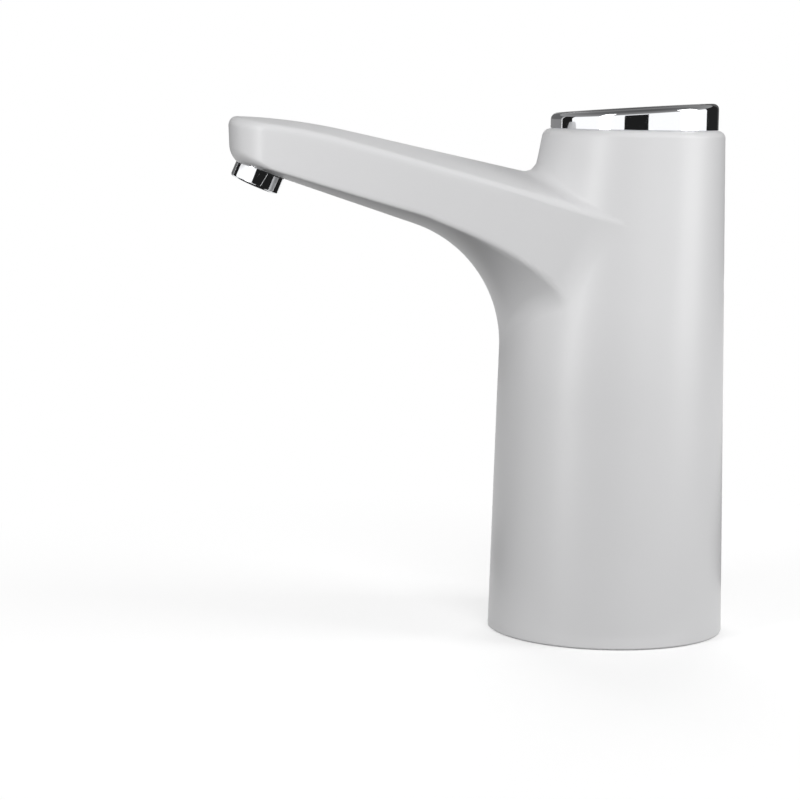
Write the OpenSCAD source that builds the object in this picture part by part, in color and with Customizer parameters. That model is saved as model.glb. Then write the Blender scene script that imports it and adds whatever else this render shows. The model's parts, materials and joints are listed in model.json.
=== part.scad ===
// Electric water jug pump: a leaning faucet body that stands over the neck of a large bottle,
// with a spout arm, a push button on top, and a battery, motor and diaphragm pump inside.
// Millimetres. The spout points along -X, up is +Z, and the origin is the mouth of the neck socket.

/* [Body shell] */
// Inward lean of the body wall, in degrees
wall_draft = 1.15; // [0.9:0.05:1.3]
// How far below the top face the front starts to lean back
lean_drop = 68.7; // [66:0.1:72]
// Lean of the front above that height, in degrees
front_lean = 10.5; // [9.5:0.1:11]
// Height over which the lean sets in
lean_blend = 14; // [10:1:18]
// Height of the top face that carries the ring
top_z = 159.7; // [157:0.1:162]
// Wall thickness of the shell
wall = 2.5; // [2.2:0.1:2.8]
// Rounding of the shoulder under the ring
shoulder_r = 2.2; // [1.6:0.1:2.6]
// Rounding of the lower rim
foot_r = 0.8; // [0.5:0.1:1.2]

/* [Spout arm] */
// Distance from the body axis to the front of the tip
arm_reach = 122.7; // [119:0.1:126]
// Radius of the tip, seen from above
tip_r = 15; // [14.5:0.1:16]
// How far inside the body's outer radius the arm's sides start
root_set = 5.9; // [5.6:0.1:6.4]
// How far behind the body axis the arm's sides start
root_x = 3.5; // [2:0.1:5]
// How far below the top face the ridge line meets the body axis
ridge_drop = 19.8; // [18.5:0.1:21]
// Rise of the ridge toward the tip, in degrees
ridge_slope = 12; // [11.5:0.1:12.5]
// Length over which the ridge levels off before the tip
level_len = 37.7; // [30:0.1:45]
// How far the levelling lowers the ridge at the tip
level_drop = 3.95; // [3:0.05:4.5]
// Radius of the crown across the top of the arm
crown_r = 66; // [60:1:80]
// Radius of the bend from the front of the body into the underside
bend_r = 40; // [38:0.5:42]
// Rise of the underside toward the tip, in degrees
belly_slope = 18; // [17.5:0.1:18.5]
// Radius of the crown across the underside
belly_r = 60; // [50:1:80]
// Rounding of the arm's upper edges
arm_edge_r = 1.6; // [1:0.1:2]
// Rounding of the crease between side and underside
crease_r = 0.7; // [0.4:0.1:1.2]
// Rounding of the upper edge at the front of the tip
tip_edge_r = 3; // [2:0.1:3.4]
// Rounding of the lower edge at the front of the tip
tip_crease_r = 4.5; // [3:0.1:5]
// Lean of the front of the tip, as a slope
tip_lean = 0.07; // [0:0.01:0.1]
// Fillet where the ridge meets the upper body
valley_r = 4; // [3:0.1:5]
// Blend where the arm's sides run into the body
side_blend = 2; // [1:0.1:2.5]

/* [Nozzle] */
// Outer radius of the nozzle sleeve
nozzle_r = 8; // [7.5:0.1:8.4]
// Distance from the front of the tip to the nozzle, along the underside
nozzle_set = 10.2; // [9.8:0.1:11]
// Lean of the nozzle, in degrees
nozzle_tilt = 22.6; // [20:0.1:24]
// Length of the sleeve that shows below the arm
nozzle_drop = 5; // [4:0.1:6]
// Wall of the sleeve
nozzle_wall = 2.8; // [2.5:0.1:3]
// Rounding of the sleeve's lower lip
nozzle_lip = 0.9; // [0.5:0.1:1]
// Radius of the holes in the flow insert
flow_hole_r = 0.7; // [0.5:0.05:0.8]

/* [Top ring and button] */
// Height of the ring at its middle, above the top face
ring_h = 6.7; // [6:0.1:8]
// Lean of the ring's top face toward the spout, in degrees
ring_tilt = 4.2; // [3:0.1:4.6]
// Width of the ring's top face
ring_w = 4.2; // [3.8:0.1:4.8]
// Rounding of the ring's rim
ring_edge_r = 1.9; // [1:0.1:2]
// Width of the light ring
light_w = 1.1; // [0.9:0.1:1.5]
// How far below the top face the button's guide sits
guide_drop = 7.7; // [7.5:0.1:8.2]
// How far the button sits below the ring's top face
button_sink = 0.6; // [0.3:0.1:1]
// Travel of the button
button_travel = 1; // [0.6:0.1:1.2]
// Radius of the button's stem
stem_r = 3.5; // [3:0.1:4]
// Radius of the spring wire
spring_wire_r = 0.45; // [0.35:0.05:0.5]
// Turns of the button spring
spring_turns = 4; // [3:1:5]

/* [Neck socket] */
// Radius of the socket that drops over the bottle's neck
neck_r = 27.8; // [27:0.1:28.4]
// Wall of the collar round the socket, at its lower rim
collar_t = 6.75; // [6.5:0.05:7.5]
// Length of the socket's guiding land
neck_land = 14; // [12:0.5:15]
// Depth of the socket up to the deck
neck_depth = 24; // [23:0.5:26]
// Thickness of the deck
deck_t = 3; // [2.5:0.1:3.5]
// Radius of the hose nipple under the deck
nipple_r = 4; // [3.6:0.1:4.4]
// Length of the hose nipple under the deck
nipple_len = 9; // [8:0.1:9.5]
// Thickness of the neck seal
seal_t = 2; // [1.5:0.1:2.5]
// How far the neck seal reaches in over the bottle's rim
seal_w = 7.3; // [6.5:0.1:8]

/* [Pump and motor] */
// Distance from the body axis forward to the pump axis
pump_set = 9; // [8.5:0.1:9.5]
// Radius of the motor can
motor_r = 12.2; // [11.8:0.1:12.4]
// Length of the motor can
motor_len = 30.8; // [30:0.1:31.5]
// Radius of the motor shaft
shaft_r = 1; // [0.8:0.05:1.1]
// Outer radius of the pump
pump_r = 15; // [14.8:0.1:15.4]
// Lean of the crank pin that makes the plate wobble, in degrees
wobble_tilt = 6; // [4:0.5:6.5]
// Radius at which the three pistons sit
piston_ring_r = 8; // [7.6:0.1:8.2]
// Radius of a piston
piston_r = 2.4; // [2.2:0.1:2.6]
// Outer radius of the water hoses
hose_r = 3.2; // [3:0.1:3.4]
// Wall of the water hoses
hose_wall = 1.1; // [0.9:0.05:1.2]

/* [Battery and boards] */
// Radius of the battery cell
cell_r = 9.2; // [9:0.05:9.3]
// Length of the battery cell
cell_len = 65; // [63:0.5:66]
// Thickness of the circuit boards
board_t = 1.6; // [1.2:0.1:1.8]
// Radius of the lead wires
lead_r = 0.7; // [0.5:0.05:0.8]

/* [Fits] */
// Gap between a seated piece and its seat
seat_gap = 0.2; // [0.15:0.01:0.25]
// Gap between the shell's inner wall and the base pieces that slide into it
shell_gap = 0.45; // [0.4:0.01:0.6]
// Radial gap of a running fit
run_gap = 0.05; // [0.03:0.01:0.08]
// Gap between moving pieces that must never touch
free_gap = 0.4; // [0.35:0.01:0.5]
// Radius of the small screws
screw_r = 1.2; // [1:0.05:1.3]

/* [Hidden] */
$fn = 64;
tiny = 0.01;

// Body: sized over the neck it stands on. The back edge is a straight drafted line, the front edge leans back
// above lean_z, and every level section is the circle between the two.
base_r = neck_r + collar_t + shell_gap + wall;
lean_z = top_z - lean_drop;
ridge_z = top_z - ridge_drop;
root_r = base_r - root_set;
lean_gain = tan(front_lean) - tan(wall_draft);
function ramp(t, w) = t <= -w ? 0 : t >= w ? t : (t + w) * (t + w) / (4 * w);
function clamp(t, low, high) = min(max(t, low), high);
function mix(a, b, t) = a + (b - a) * t;
function flip(p) = [p.x, -p.y, p.z];
function back_x(z) = base_r - z * tan(wall_draft);
function front_x(z) = lean_gain * ramp(z - lean_z, lean_blend) - back_x(z);
function body_x(z) = (back_x(z) + front_x(z)) / 2;
function body_r(z) = (back_x(z) - front_x(z)) / 2;

// Arm: in plan two straight sides tangent to a round tip, on top a ridge line with a crown,
// underneath an arc of bend_r and a straight rise, with a crown that tightens toward the body.
tip_x = tip_r - arm_reach;
bend_x = -back_x(lean_z) - bend_r;
bend_end = 90 - belly_slope;
root_sag = 0.03;
root_angle = 63;
root_cap = 0.62;
root_knee = 6;
fade_x = -2;
fade_r = 40;
root_power = 1.5;
side_sin = (tip_r - root_r) / (root_x - tip_x);
side_cos = sqrt(1 - side_sin * side_sin);
blend_drop = 14;
blend_z = ridge_z - blend_drop;
blend_h = 10;
blend_w = 20;
valley_w = 14;
blend_len = 24;
function ridge_h(x) = ridge_z - x * tan(ridge_slope)
    - level_drop * pow(max(0, (level_len - arm_reach - x) / level_len), 2);
function belly_h(x) = lean_z + (bend_r - (x - bend_x) * cos(bend_end)) / sin(bend_end);
function knee(t) = t <= 0 ? 0
    : t * root_cap / pow(pow(t, root_knee) + pow(root_cap, root_knee), 1 / root_knee);
function belly_sag(a) = 1 / (2 * belly_r) + root_sag * knee(pow(max(0, 1 - a / root_angle), root_power));
function half_w(x) = x < tip_x ? sqrt(max(tiny, tip_r * tip_r - (x - tip_x) * (x - tip_x)))
    : (tip_r - side_sin * (x - tip_x)) / side_cos;

// Signed gaps from a point to each face of the skin: negative inside, positive outside.
function edge_cut(t, r) = t <= 0 ? 0 : r - sqrt(max(0, r * r - t * t));
function round_and(a, b, r) = min(max(a, b), -r) + norm([max(a + r, 0), max(b + r, 0)]);
function round_or(a, b, r) = r < tiny ? min(a, b) : max(min(a, b), r) - norm([max(r - a, 0), max(r - b, 0)]);
function body_gap(p, rounded) = norm([p.x - body_x(p.z), p.y]) - body_r(p.z)
    + (rounded ? edge_cut(p.z - top_z + shoulder_r, shoulder_r) + edge_cut(foot_r - p.z, foot_r) : 0);
function side_gap(p) = let (y = abs(p.y), x = p.x - tip_x, n = max(tiny, norm([x, y])))
    side_cos * x - side_sin * y < 0
    ? n - tip_r + tip_lean * max(0, ridge_h(p.x) - p.z) * pow(max(0, side_sin - x / n), 2)
    : side_cos * y + side_sin * x - tip_r + pow(max(0, p.x - fade_x), 2) / (2 * fade_r);
function crown_gap(p) = (p.z - ridge_h(p.x) + p.y * p.y / (2 * crown_r)) * cos(ridge_slope);
function belly_gap(p) = let (dx = p.x - bend_x, dz = p.z - lean_z,
    a = clamp(atan2(dz, dx), -wall_draft, bend_end))
    bend_r - dx * cos(a) - dz * sin(a) + belly_sag(a) * p.y * p.y;
function arm_gap(p) = let (t = clamp((tip_x - p.x) / tip_r, 0, 1))
    round_and(round_and(max(side_gap(p), p.x - root_x), crown_gap(p), mix(arm_edge_r, tip_edge_r, t)),
    belly_gap(p), mix(crease_r, tip_crease_r, t));
function blend_r(p) = let (y = abs(p.y), low = side_blend * clamp(y / blend_w, 0, 1),
    high = mix(valley_r, side_blend, clamp((y - valley_w) / blend_w, 0, 1)))
    clamp((root_x - p.x) / blend_len, 0, 1) * mix(low, high, clamp((p.z - blend_z) / blend_h, 0, 1));
function skin_gap(p, inset) = inset + round_or(body_gap(p, inset == 0), arm_gap(p), blend_r(p));

// The skin is found along rays: from the body axis for the body, from the middle of each section for the arm.
ray_steps = 15;
ray_room = 6;
function ray_hit(o, d, low, high, inset, n) = n == 0 ? (low + high) / 2 : let (m = (low + high) / 2)
    skin_gap(o + m * d, inset) > 0 ? ray_hit(o, d, low, m, inset, n - 1)
    : ray_hit(o, d, m, high, inset, n - 1);
function on_skin(o, d, far, inset) = o + d * ray_hit(o, d, 0, far, inset, ray_steps);

valley_share = 0.3;
valley_x = front_x(ridge_h(front_x(ridge_h(-body_r(lean_z))))) - valley_share * valley_r;
bend_share = 0.45;
belly_x = bend_x + bend_r * cos(bend_end);
belly_z = lean_z + bend_r * sin(bend_end);
tip_back = tip_lean * pow(1 + side_sin, 2) * (ridge_h(-arm_reach) - belly_h(-arm_reach));
belly_len = (belly_x + arm_reach - tip_back) / cos(belly_slope);
function belly_pt(s) = s < bend_share
    ? [bend_x + bend_r * cos(bend_end * s / bend_share), 0, lean_z + bend_r * sin(bend_end * s / bend_share)]
    : let (t = belly_len * (s - bend_share) / (1 - bend_share))
        [belly_x - t * cos(belly_slope), 0, belly_z + t * sin(belly_slope)];
function ridge_pt(s) = let (x = mix(valley_x, -arm_reach, s)) [x, 0, ridge_h(x)];
crease_angle = 1.5;
edge_angle = 4;
crown_ease = 1.3;
function loop_count(grain) = 5 * grain + 4;
function crease_count(grain) = 2 * grain;
function edge_count(grain) = 3 * grain + 3;
function row_shares(z, z_b, z_c, z_e, z_t) = z < z_c ? [(z - z_b) / (z_c - z_b), 0]
    : z < z_e ? [(z_e - z) / (z_e - z_c), (z - z_c) / (z_e - z_c)] : [0, (z_t - z) / (z_t - z_e)];
function edge_h(x) = ridge_h(x) - half_w(x) * half_w(x) / (2 * crown_r);
function crease_h(x, a, n) = let (out = bend_r + belly_sag(a) * half_w(x) * half_w(x), dx = x - bend_x,
    rise = a >= bend_end ? (out - dx * cos(bend_end)) / sin(bend_end) : sqrt(max(0, out * out - dx * dx)))
    n == 0 ? lean_z + rise : crease_h(x, min(bend_end, atan2(rise, dx)), n - 1);
function crease_from(x) = crease_h(x, bend_end / 2, turns);
turns = 4;
function edge_turn(m, u, low, x, n) = let (v = ((low ? crease_from(x) : edge_h(x)) - m.z) / u.z)
    n == 0 ? atan2(half_w(x), -v) : edge_turn(m, u, low, m.x + v * u.x, n - 1);
function loop_angles(m, u, grain) = let (c = edge_turn(m, u, true, m.x, turns),
    e = edge_turn(m, u, false, m.x, turns))
    [for (i = [0:2 * grain]) (c - crease_angle) * i / (2 * grain),
     for (i = [0:grain]) mix(c + crease_angle, e - edge_angle, i / (grain + 1)),
     e - edge_angle, e, for (i = [0:2 * grain]) mix(e + edge_angle, 180, pow(i / (2 * grain), crown_ease))];
function arm_half(s, inset, grain) = let (b = belly_pt(s), t = ridge_pt(s), m = (b + t) / 2,
    h = norm(t - b) / 2, u = (t - b) / (2 * h), w = half_w(m.x))
    [for (a = loop_angles(m, u, grain)) on_skin(m, [-cos(a) * u.x, -sin(a), -cos(a) * u.z],
        1 / max(abs(cos(a)) / h, sin(a) / w) + ray_room, inset)];
function whole(half, n) = concat(half, [for (i = [1:n]) flip(half[len(half) - 1 - i])]);

// Rows run round the back from the root of the arm. Their rays start ahead of the body axis,
// and the rows follow the arm's upper edge and lower crease down the side of the body.
column_ease = 1.15;
fore_x = 12;
low_end = -16;
min_angle = 60;
function ray_from(z) = [body_x(z) - fore_x, 0, z];
function reach(z, a, room) = fore_x * cos(a) + sqrt(pow(body_r(z) + room, 2) - pow(fore_x * sin(a), 2));
function side_x(z, a) = let (o = ray_from(z).x) a < min_angle ? root_x
    : o + (tip_r - side_sin * (o - tip_x)) / max(tiny, side_cos * sin(a) + side_sin * cos(a)) * cos(a);
function follow(p, a, shares, starts) = let (x = side_x(p.z, a))
    shares[0] * crease_from(clamp(x, starts[0], low_end)) + shares[1] * edge_h(clamp(x, starts[1], root_x));
function row_from(p, shares, starts, inset, n) = let (o = ray_from(p.z), q = atan2(-p.y, p.x - o.x),
    half = [p, for (i = [1:n]) let (a = q * (1 - pow(i / n, column_ease)),
        z = p.z + follow(p, a, shares, starts) - follow(p, q, shares, starts))
        on_skin(ray_from(z), [cos(a), -sin(a), 0], max(norm(p - o) + 1, reach(z, a, ray_room)), inset)])
    whole(half, n);
function row_round(z, inset, n) = let (half = [for (i = [0:n]) let (a = 180 * (1 - pow(i / n, column_ease)))
    on_skin(ray_from(z), [cos(a), -sin(a), 0], reach(z, a, ray_room), inset)])
    whole(half, n);

// Closed skin of body and arm, drawn in by inset, from z_low to z_high. grain sets how fine it is.
tip_share = 0.845;
tip_angle = 84;
row_steps = [0.5, 0.83, 0.92];
module skin(inset, z_low, z_high, grain) {
    n = 6 * grain + 8;
    m = loop_count(grain);
    loop = arm_half(0, inset, grain);
    z_b = loop[0].z;
    z_t = loop[m].z;
    c = loop[crease_count(grain)];
    e = loop[edge_count(grain)];
    rounded = inset == 0;
    tip_end = 1 - inset / (arm_reach + valley_x);
    low = [if (rounded) for (a = [90, 60, 30, 0]) foot_r * (1 - sin(a)), if (!rounded) z_low,
        for (t = row_steps) mix(z_low, z_b, t)];
    high = [for (i = [1:3]) mix(z_t, rounded ? top_z - shoulder_r : z_high, i / 3),
        if (rounded) for (a = [30, 60, 90]) top_z - shoulder_r * (1 - sin(a))];
    rows = [for (z = low) row_round(z, inset, n), row_round(z_b, inset, n),
        for (i = [1:m - 1])
            row_from(loop[i], row_shares(loop[i].z, z_b, c.z, e.z, z_t), [c.x, e.x], inset, n),
        row_round(z_t, inset, n), for (z = high) row_round(z, inset, n)];
    stations = [for (i = [1:4 * grain]) tip_share * i / (4 * grain),
        for (i = [1:2 * grain + 1]) mix(tip_share, tip_end, sin(tip_angle * i / (2 * grain + 1)))];
    rings = [for (s = stations) whole(arm_half(s, inset, grain), m - 1)];
    first = len(low);
    last = first + m;
    top_row = len(rows) - 1;
    row_w = 2 * n + 1;
    ring_n = 2 * m;
    function at(j, i) = j * row_w + (i == 2 * n && (j <= first || j >= last) ? 0 : i);
    function on_ring(k, i) = k > 0 ? len(rows) * row_w + (k - 1) * ring_n + i % ring_n
        : i <= m ? at(first + i, 0) : at(last - (i - m), 2 * n);
    polyhedron([for (r = rows) each r, for (r = rings) each r], [
        for (j = [0:top_row - 1], i = [0:2 * n - 1]) [at(j, i), at(j + 1, i), at(j + 1, i + 1), at(j, i + 1)],
        for (k = [0:len(rings) - 1], i = [0:ring_n - 1])
            [on_ring(k, i), on_ring(k + 1, i), on_ring(k + 1, i + 1), on_ring(k, i + 1)],
        [for (i = [0:2 * n - 1]) at(0, i)],
        [for (i = [2 * n - 1:-1:0]) at(top_row, i)],
        [for (i = [ring_n - 1:-1:0]) on_ring(len(rings), i)]], convexity = 8);
}

// Tubes swept along a route: corners are rounded, and a bore is left where r_in is above zero.
function unit(v) = v / norm(v);
function bend(a, b, c, r, n) = let (u = unit(a - b), v = unit(c - b), half = acos(u * v) / 2,
    o = b + unit(u + v) * r / sin(half), e = b + u * r / tan(half) - o, f = b + v * r / tan(half) - o,
    turn = 180 - 2 * half)
    [for (i = [0:n]) o + (e * sin(turn * (1 - i / n)) + f * sin(turn * i / n)) / sin(turn)];
function round_route(pts, r, n) = [pts[0],
    for (i = [1:len(pts) - 2]) each bend(pts[i - 1], pts[i], pts[i + 1], r, n), pts[len(pts) - 1]];
function route_ring(route, i, r, sides, side) = let (k = len(route) - 1,
    t = unit(route[min(i + 1, k)] - route[max(i - 1, 0)]), u = unit(cross(t, side)), v = cross(t, u))
    [for (j = [0:sides - 1]) route[i] + r * (u * cos(360 * j / sides) + v * sin(360 * j / sides))];
module tube(route, r, r_in, sides, side) {
    k = len(route) - 1;
    hollow = r_in > 0;
    rings = [for (i = [0:k]) route_ring(route, i, r, sides, side),
        if (hollow) for (i = [k:-1:0]) route_ring(route, i, r_in, sides, side)];
    turns = len(rings);
    function at(i, j) = (i % turns) * sides + j % sides;
    polyhedron([for (q = rings) each q], [
        for (i = [0:hollow ? turns - 1 : turns - 2], j = [0:sides - 1])
            [at(i, j), at(i + 1, j), at(i + 1, j + 1), at(i, j + 1)],
        if (!hollow) [for (j = [0:sides - 1]) at(0, j)],
        if (!hollow) [for (j = [sides - 1:-1:0]) at(turns - 1, j)]], convexity = 10);
}

// Levels of the base
deck_z = neck_depth;
floor_z = neck_depth + deck_t;
function shell_in(z) = back_x(z) - wall;
inner_r = shell_in(floor_z);
collar_r = inner_r - shell_gap;
relief = 1;
relief_r = neck_r + relief;
flange_r = 2 * nipple_r;
flange_t = 2;
elbow_r = 1.25 * nipple_r;
elbow_z = floor_z + flange_t + elbow_r;
nipple_wall = 1.6;
hose_sides = 12;
barb_r = (hose_r - hose_wall) * cos(180 / hose_sides) - run_gap;
barb_len = 7;
bore_r = 1.5;
cross_step = 0.2;
cross_r = bore_r - cross_step;
boss_r = 3.4;
boss_h = 13;
boss_root = 1;
boss_ring_r = (neck_r + collar_r) / 2;
boss_turns = [60, 180, 300];
head_r = 2 * screw_r;
head_h = 1.25 * screw_r;
sink_floor = 8;
sink_h = neck_depth - sink_floor;
sink_r = head_r + seat_gap;
screw_short = 3;
over = 1;

// Levels of the motor and pump. over is how far a cutter runs past the face it cuts.
pump_x = -pump_set;
cap_t = 3;
motor_lift = 4;
motor_z = elbow_z + elbow_r + motor_lift;
motor_top = motor_z + motor_len;
can_t = 1;
magnet_t = 2.2;
magnet_set = 6;
core_set = 9;
core_room = 8;
slot_depth = 3.5;
slot_w = 2.4;
commutator_t = 2;
commutator_r = shaft_r + commutator_t;
commutator_h = 3;
motor_boss_r = 3;
motor_boss_h = 1.3;
tab_y = 0.65 * motor_r;
tab_w = 3;
tab_t = 0.8;
tab_len = 2.5;
case_floor = 1.3;
case_wall = 3.1;
case_in_r = pump_r - case_wall;
crank_r = 5;
crank_z = motor_top + motor_boss_h + free_gap;
crank_h = 7.2;
crank_top = crank_z + crank_h;
shaft_hold = 4;
shaft_top = crank_z + shaft_hold;
plate_t = 2;
hub_r = 3;
hub_low = 8.5;
arm_low = 6;
wobble_z = crank_top + hub_low * cos(wobble_tilt) + hub_r * sin(wobble_tilt) + free_gap;
case_top = wobble_z - free_gap;
sheet_t = 1.2;
block_z = case_top + sheet_t;
block_t = 4;
head_z = block_z + block_t;
pump_head_h = 7.2;
head_top = head_z + pump_head_h;
bolt_set = 1.6;
pump_bolt_r = pump_r - bolt_set;
pump_screw_r = screw_r * 5 / 6;
bolt_turns = [45, 135, 225, 315];
piston_turns = [60, 180, 300];
inlet_z = head_z + pump_head_h / 2;
inlet_barb = 3.5;
inlet_bend = 7.5;
inlet_y = pump_r + inlet_barb + inlet_bend + 2 * seat_gap;

// Nozzle axis and hose line
nozzle_x = nozzle_set - arm_reach;
nozzle_way = [sin(nozzle_tilt), 0, cos(nozzle_tilt)];
nozzle_base = [nozzle_x, 0, belly_h(nozzle_x)] - nozzle_drop * nozzle_way;
nozzle_seat = 1.2;
pocket_at = nozzle_drop + nozzle_seat;
spigot_step = 1.5;
spigot_r = nozzle_r - spigot_step;
nozzle_seal_t = 0.8;
nozzle_rim = 0.9;
nozzle_bore_r = nozzle_r - nozzle_wall;
throat_step = 2;
throat_r = nozzle_bore_r - throat_step;
elbow_at = pocket_at + wall + seat_gap;
spigot_hold = 2.4;
spigot_end = elbow_at + spigot_hold;
elbow_h = 5.6;
elbow_end = elbow_at + elbow_h;
branch_at = elbow_end - hose_r;
branch_pt = nozzle_base + branch_at * nozzle_way;
hose_slope = 16;
hose_leg = 17;
hose_rise = min(hose_slope, atan2(branch_pt.z - head_top - hose_leg, pump_x - branch_pt.x));
hose_dir = [cos(hose_rise), 0, -sin(hose_rise)];
hose_start = branch_pt + (nozzle_r + hose_r * tan(nozzle_tilt - hose_rise) + seat_gap) * hose_dir;
hose_bend = 4 * hose_r;
outlet_corner = branch_pt + (pump_x - branch_pt.x) / cos(hose_rise) * hose_dir;

// Ring and button on the top face
top_x = body_x(top_z);
ring_r = body_r(top_z) - shoulder_r;
ring_in_r = ring_r - ring_w;
skirt_t = 2;
skirt_r = ring_in_r + skirt_t;
opening_r = skirt_r + seat_gap;
light_r = ring_in_r - seat_gap;
button_r = light_r - light_w - free_gap;
guide_z = top_z - guide_drop;
guide_t = 2;
ledge_t = 2;
ledge_w = 2.2;
ledge_r = ring_in_r - ledge_w;
cap_drop = 0.7;
cap_z = top_z - cap_drop;
spring_r = 6;
board_gap = 4.4;
board_room = 0.5;
button_board_z = guide_z - board_gap - board_t;
switch_w = 6;
switch_h = 2.2;
switch_floor = 0.3;
switch_z = button_board_z + board_t;
plunger_r = 1.7;
plunger_low = 0.5;
stem_end = switch_z + switch_h + button_travel + free_gap;
post_room = 4;
post_ring_r = ledge_r - post_room;
post_r = 2.2;
post_turns = [0, 120, 240];
function tilt_z(x, sink) = top_z + ring_h - sink + (x - top_x) * tan(ring_tilt);

// Battery, control board and charging socket
foot_t = 3;
contact_t = 0.5;
contact_r = 0.65 * cell_r;
nub_r = 3;
nub_h = 1;
cradle_t = 1.9;
cradle_gap = 0.3;
cradle_in_r = cell_r + cradle_gap;
cradle_r = cradle_in_r + cradle_t;
cradle_drop = 8;
cell_z = floor_z + foot_t + contact_t;
cell_top = cell_z + cell_len;
cell_room = 3.4;
cell_x = shell_in(cell_top) - cell_r - cell_room;
foot_room = 2.5;
foot_out_r = boss_ring_r - boss_r - foot_room;
foot_ring_r = 0.6 * foot_out_r;
clamp_set = 2;
clamp_z = motor_z + clamp_set;
clamp_h = 20;
clamp_t = 2.4;
clamp_in_r = motor_r + seat_gap;
post_x = 9.5;
post_y = 12.5;
board_lift = 13;
board_z = cell_top + board_lift;
board_len = 23;
board_w = 30;
usb_w = 8.94;
usb_h = 3.26;
usb_len = 7.35;
usb_z = board_z + board_t + usb_h / 2;
port_w = 13;
port_h = 7;
port_t = 1.5;
port_lip = 1;
usb_x = back_x(usb_z) - wall - port_lip;

// Small shapes that repeat
module ring(r, r_in, h) {
    difference() {
        cylinder(r = r, h = h);
        translate([0, 0, -over]) cylinder(r = r_in, h = h + 2 * over);
    }
}
module arc_ring(r, r_in, h, angle) {
    rotate_extrude(angle = angle) translate([r_in, 0]) square([r - r_in, h]);
}
module screw(r, length, up) {
    cylinder(r = r, h = length);
    translate([0, 0, up ? length : -head_h]) cylinder(r = 2 * r, h = head_h);
}
module around(turns, r) {
    for (a = turns) rotate(a) translate([r, 0, 0]) children();
}
module at_nozzle(along) {
    translate(nozzle_base) rotate([0, nozzle_tilt, 0]) translate([0, 0, along]) children();
}
module at_pump(z) {
    translate([pump_x, 0, z]) children();
}
module at_wobble(along) {
    translate([pump_x, 0, wobble_z]) rotate([0, -wobble_tilt, 0]) translate([0, 0, along]) children();
}
module at_top(z) {
    translate([top_x, 0, z]) children();
}
// Clearance holes for the four pump screws, from below to above a piece of height h
module pump_holes(low, h) {
    around(bolt_turns, pump_bolt_r) translate([0, 0, low]) cylinder(r = pump_screw_r + run_gap, h = h);
}
// A turned piece with a leaning top. Rows of profile are [radius, level, leans]: a row that leans counts
// its level from the leaning plane. A disc has open ends, a ring's last row joins its first.
function rim(r, edge, way, steps) = [for (i = [0:steps]) let (a = 90 * i / steps)
    [r - way * edge * (1 - cos(a)), -edge * (1 - sin(a)), true]];
module leaning_turn(profile, sink, disc) {
    sides = 60;
    count = len(profile);
    function place(q, a) = let (x = top_x + q[0] * cos(a))
        [x, q[0] * sin(a), q[1] + (q[2] ? tilt_z(x, sink) : 0)];
    function at(i, j) = (i % count) * sides + j % sides;
    polyhedron([for (q = profile, j = [0:sides - 1]) place(q, 360 * j / sides)], [
        for (i = [0:disc ? count - 2 : count - 1], j = [0:sides - 1])
            [at(i, j), at(i + 1, j), at(i + 1, j + 1), at(i, j + 1)],
        if (disc) [for (j = [0:sides - 1]) at(0, j)],
        if (disc) [for (j = [sides - 1:-1:0]) at(count - 1, j)]], convexity = 4);
}

// Shell: skin, screw bosses, ribs, and the seats of the nozzle, the ring and the charging socket
rib_turns = [30, 90, 150, 210, 270, 330];
rib_w = 2;
rib_h = 30;
rib_taper = 4;
rib_z = floor_z + boss_h + 3 * rib_taper;
rib_root = 0.5;
module housing() {
    color("gainsboro") difference() {
        union() {
            difference() {
                skin(0, 0, top_z, 3);
                skin(wall, -over, top_z - wall, 2);
            }
            for (a = boss_turns) rotate(a) hull() {
                translate([boss_ring_r, 0, floor_z + seat_gap]) cylinder(r = boss_r, h = boss_h, $fn = 32);
                translate([inner_r, -boss_r, floor_z + seat_gap])
                    cube([boss_root, 2 * boss_r, boss_h + wall]);
            }
            at_nozzle(pocket_at - seat_gap)
                cylinder(r = nozzle_r + nozzle_rim, h = wall + seat_gap, $fn = 48);
            translate([usb_x - port_t, -port_w / 2 - port_t, usb_z - port_h / 2 - port_t])
                cube([port_t + port_lip + wall / 2, port_w + 2 * port_t, port_h + 2 * port_t]);
            for (a = rib_turns) rotate(a) hull() {
                translate([inner_r - seat_gap, -rib_w / 2, rib_z - rib_taper]) cube([boss_root, rib_w, tiny]);
                translate([inner_r - wall, -rib_w / 2, rib_z]) cube([wall + rib_root, rib_w, rib_h]);
                translate([inner_r - wall, -rib_w / 2, rib_z + rib_h + rib_taper]) cube([wall, rib_w, tiny]);
            }
        }
        around(boss_turns, boss_ring_r) translate([0, 0, floor_z])
            cylinder(r = screw_r + run_gap, h = boss_h - over, $fn = 24);
        at_top(top_z - 2 * wall) cylinder(r = opening_r, h = 4 * wall, $fn = 72);
        at_nozzle(0) cylinder(r = nozzle_r + seat_gap, h = pocket_at, $fn = 48);
        at_nozzle(0) cylinder(r = spigot_r + seat_gap, h = elbow_at + over, $fn = 48);
        hull() for (y = [-1, 1]) translate([usb_x, y * (port_w - port_h) / 2, usb_z]) rotate([0, 90, 0])
            cylinder(d = port_h, h = base_r, $fn = 32);
        translate([usb_x + tiny, 0, usb_z]) rotate([90, 0, -90])
            linear_extrude(2 * port_t) usb_outline(seat_gap, 32);
    }
}

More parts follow.
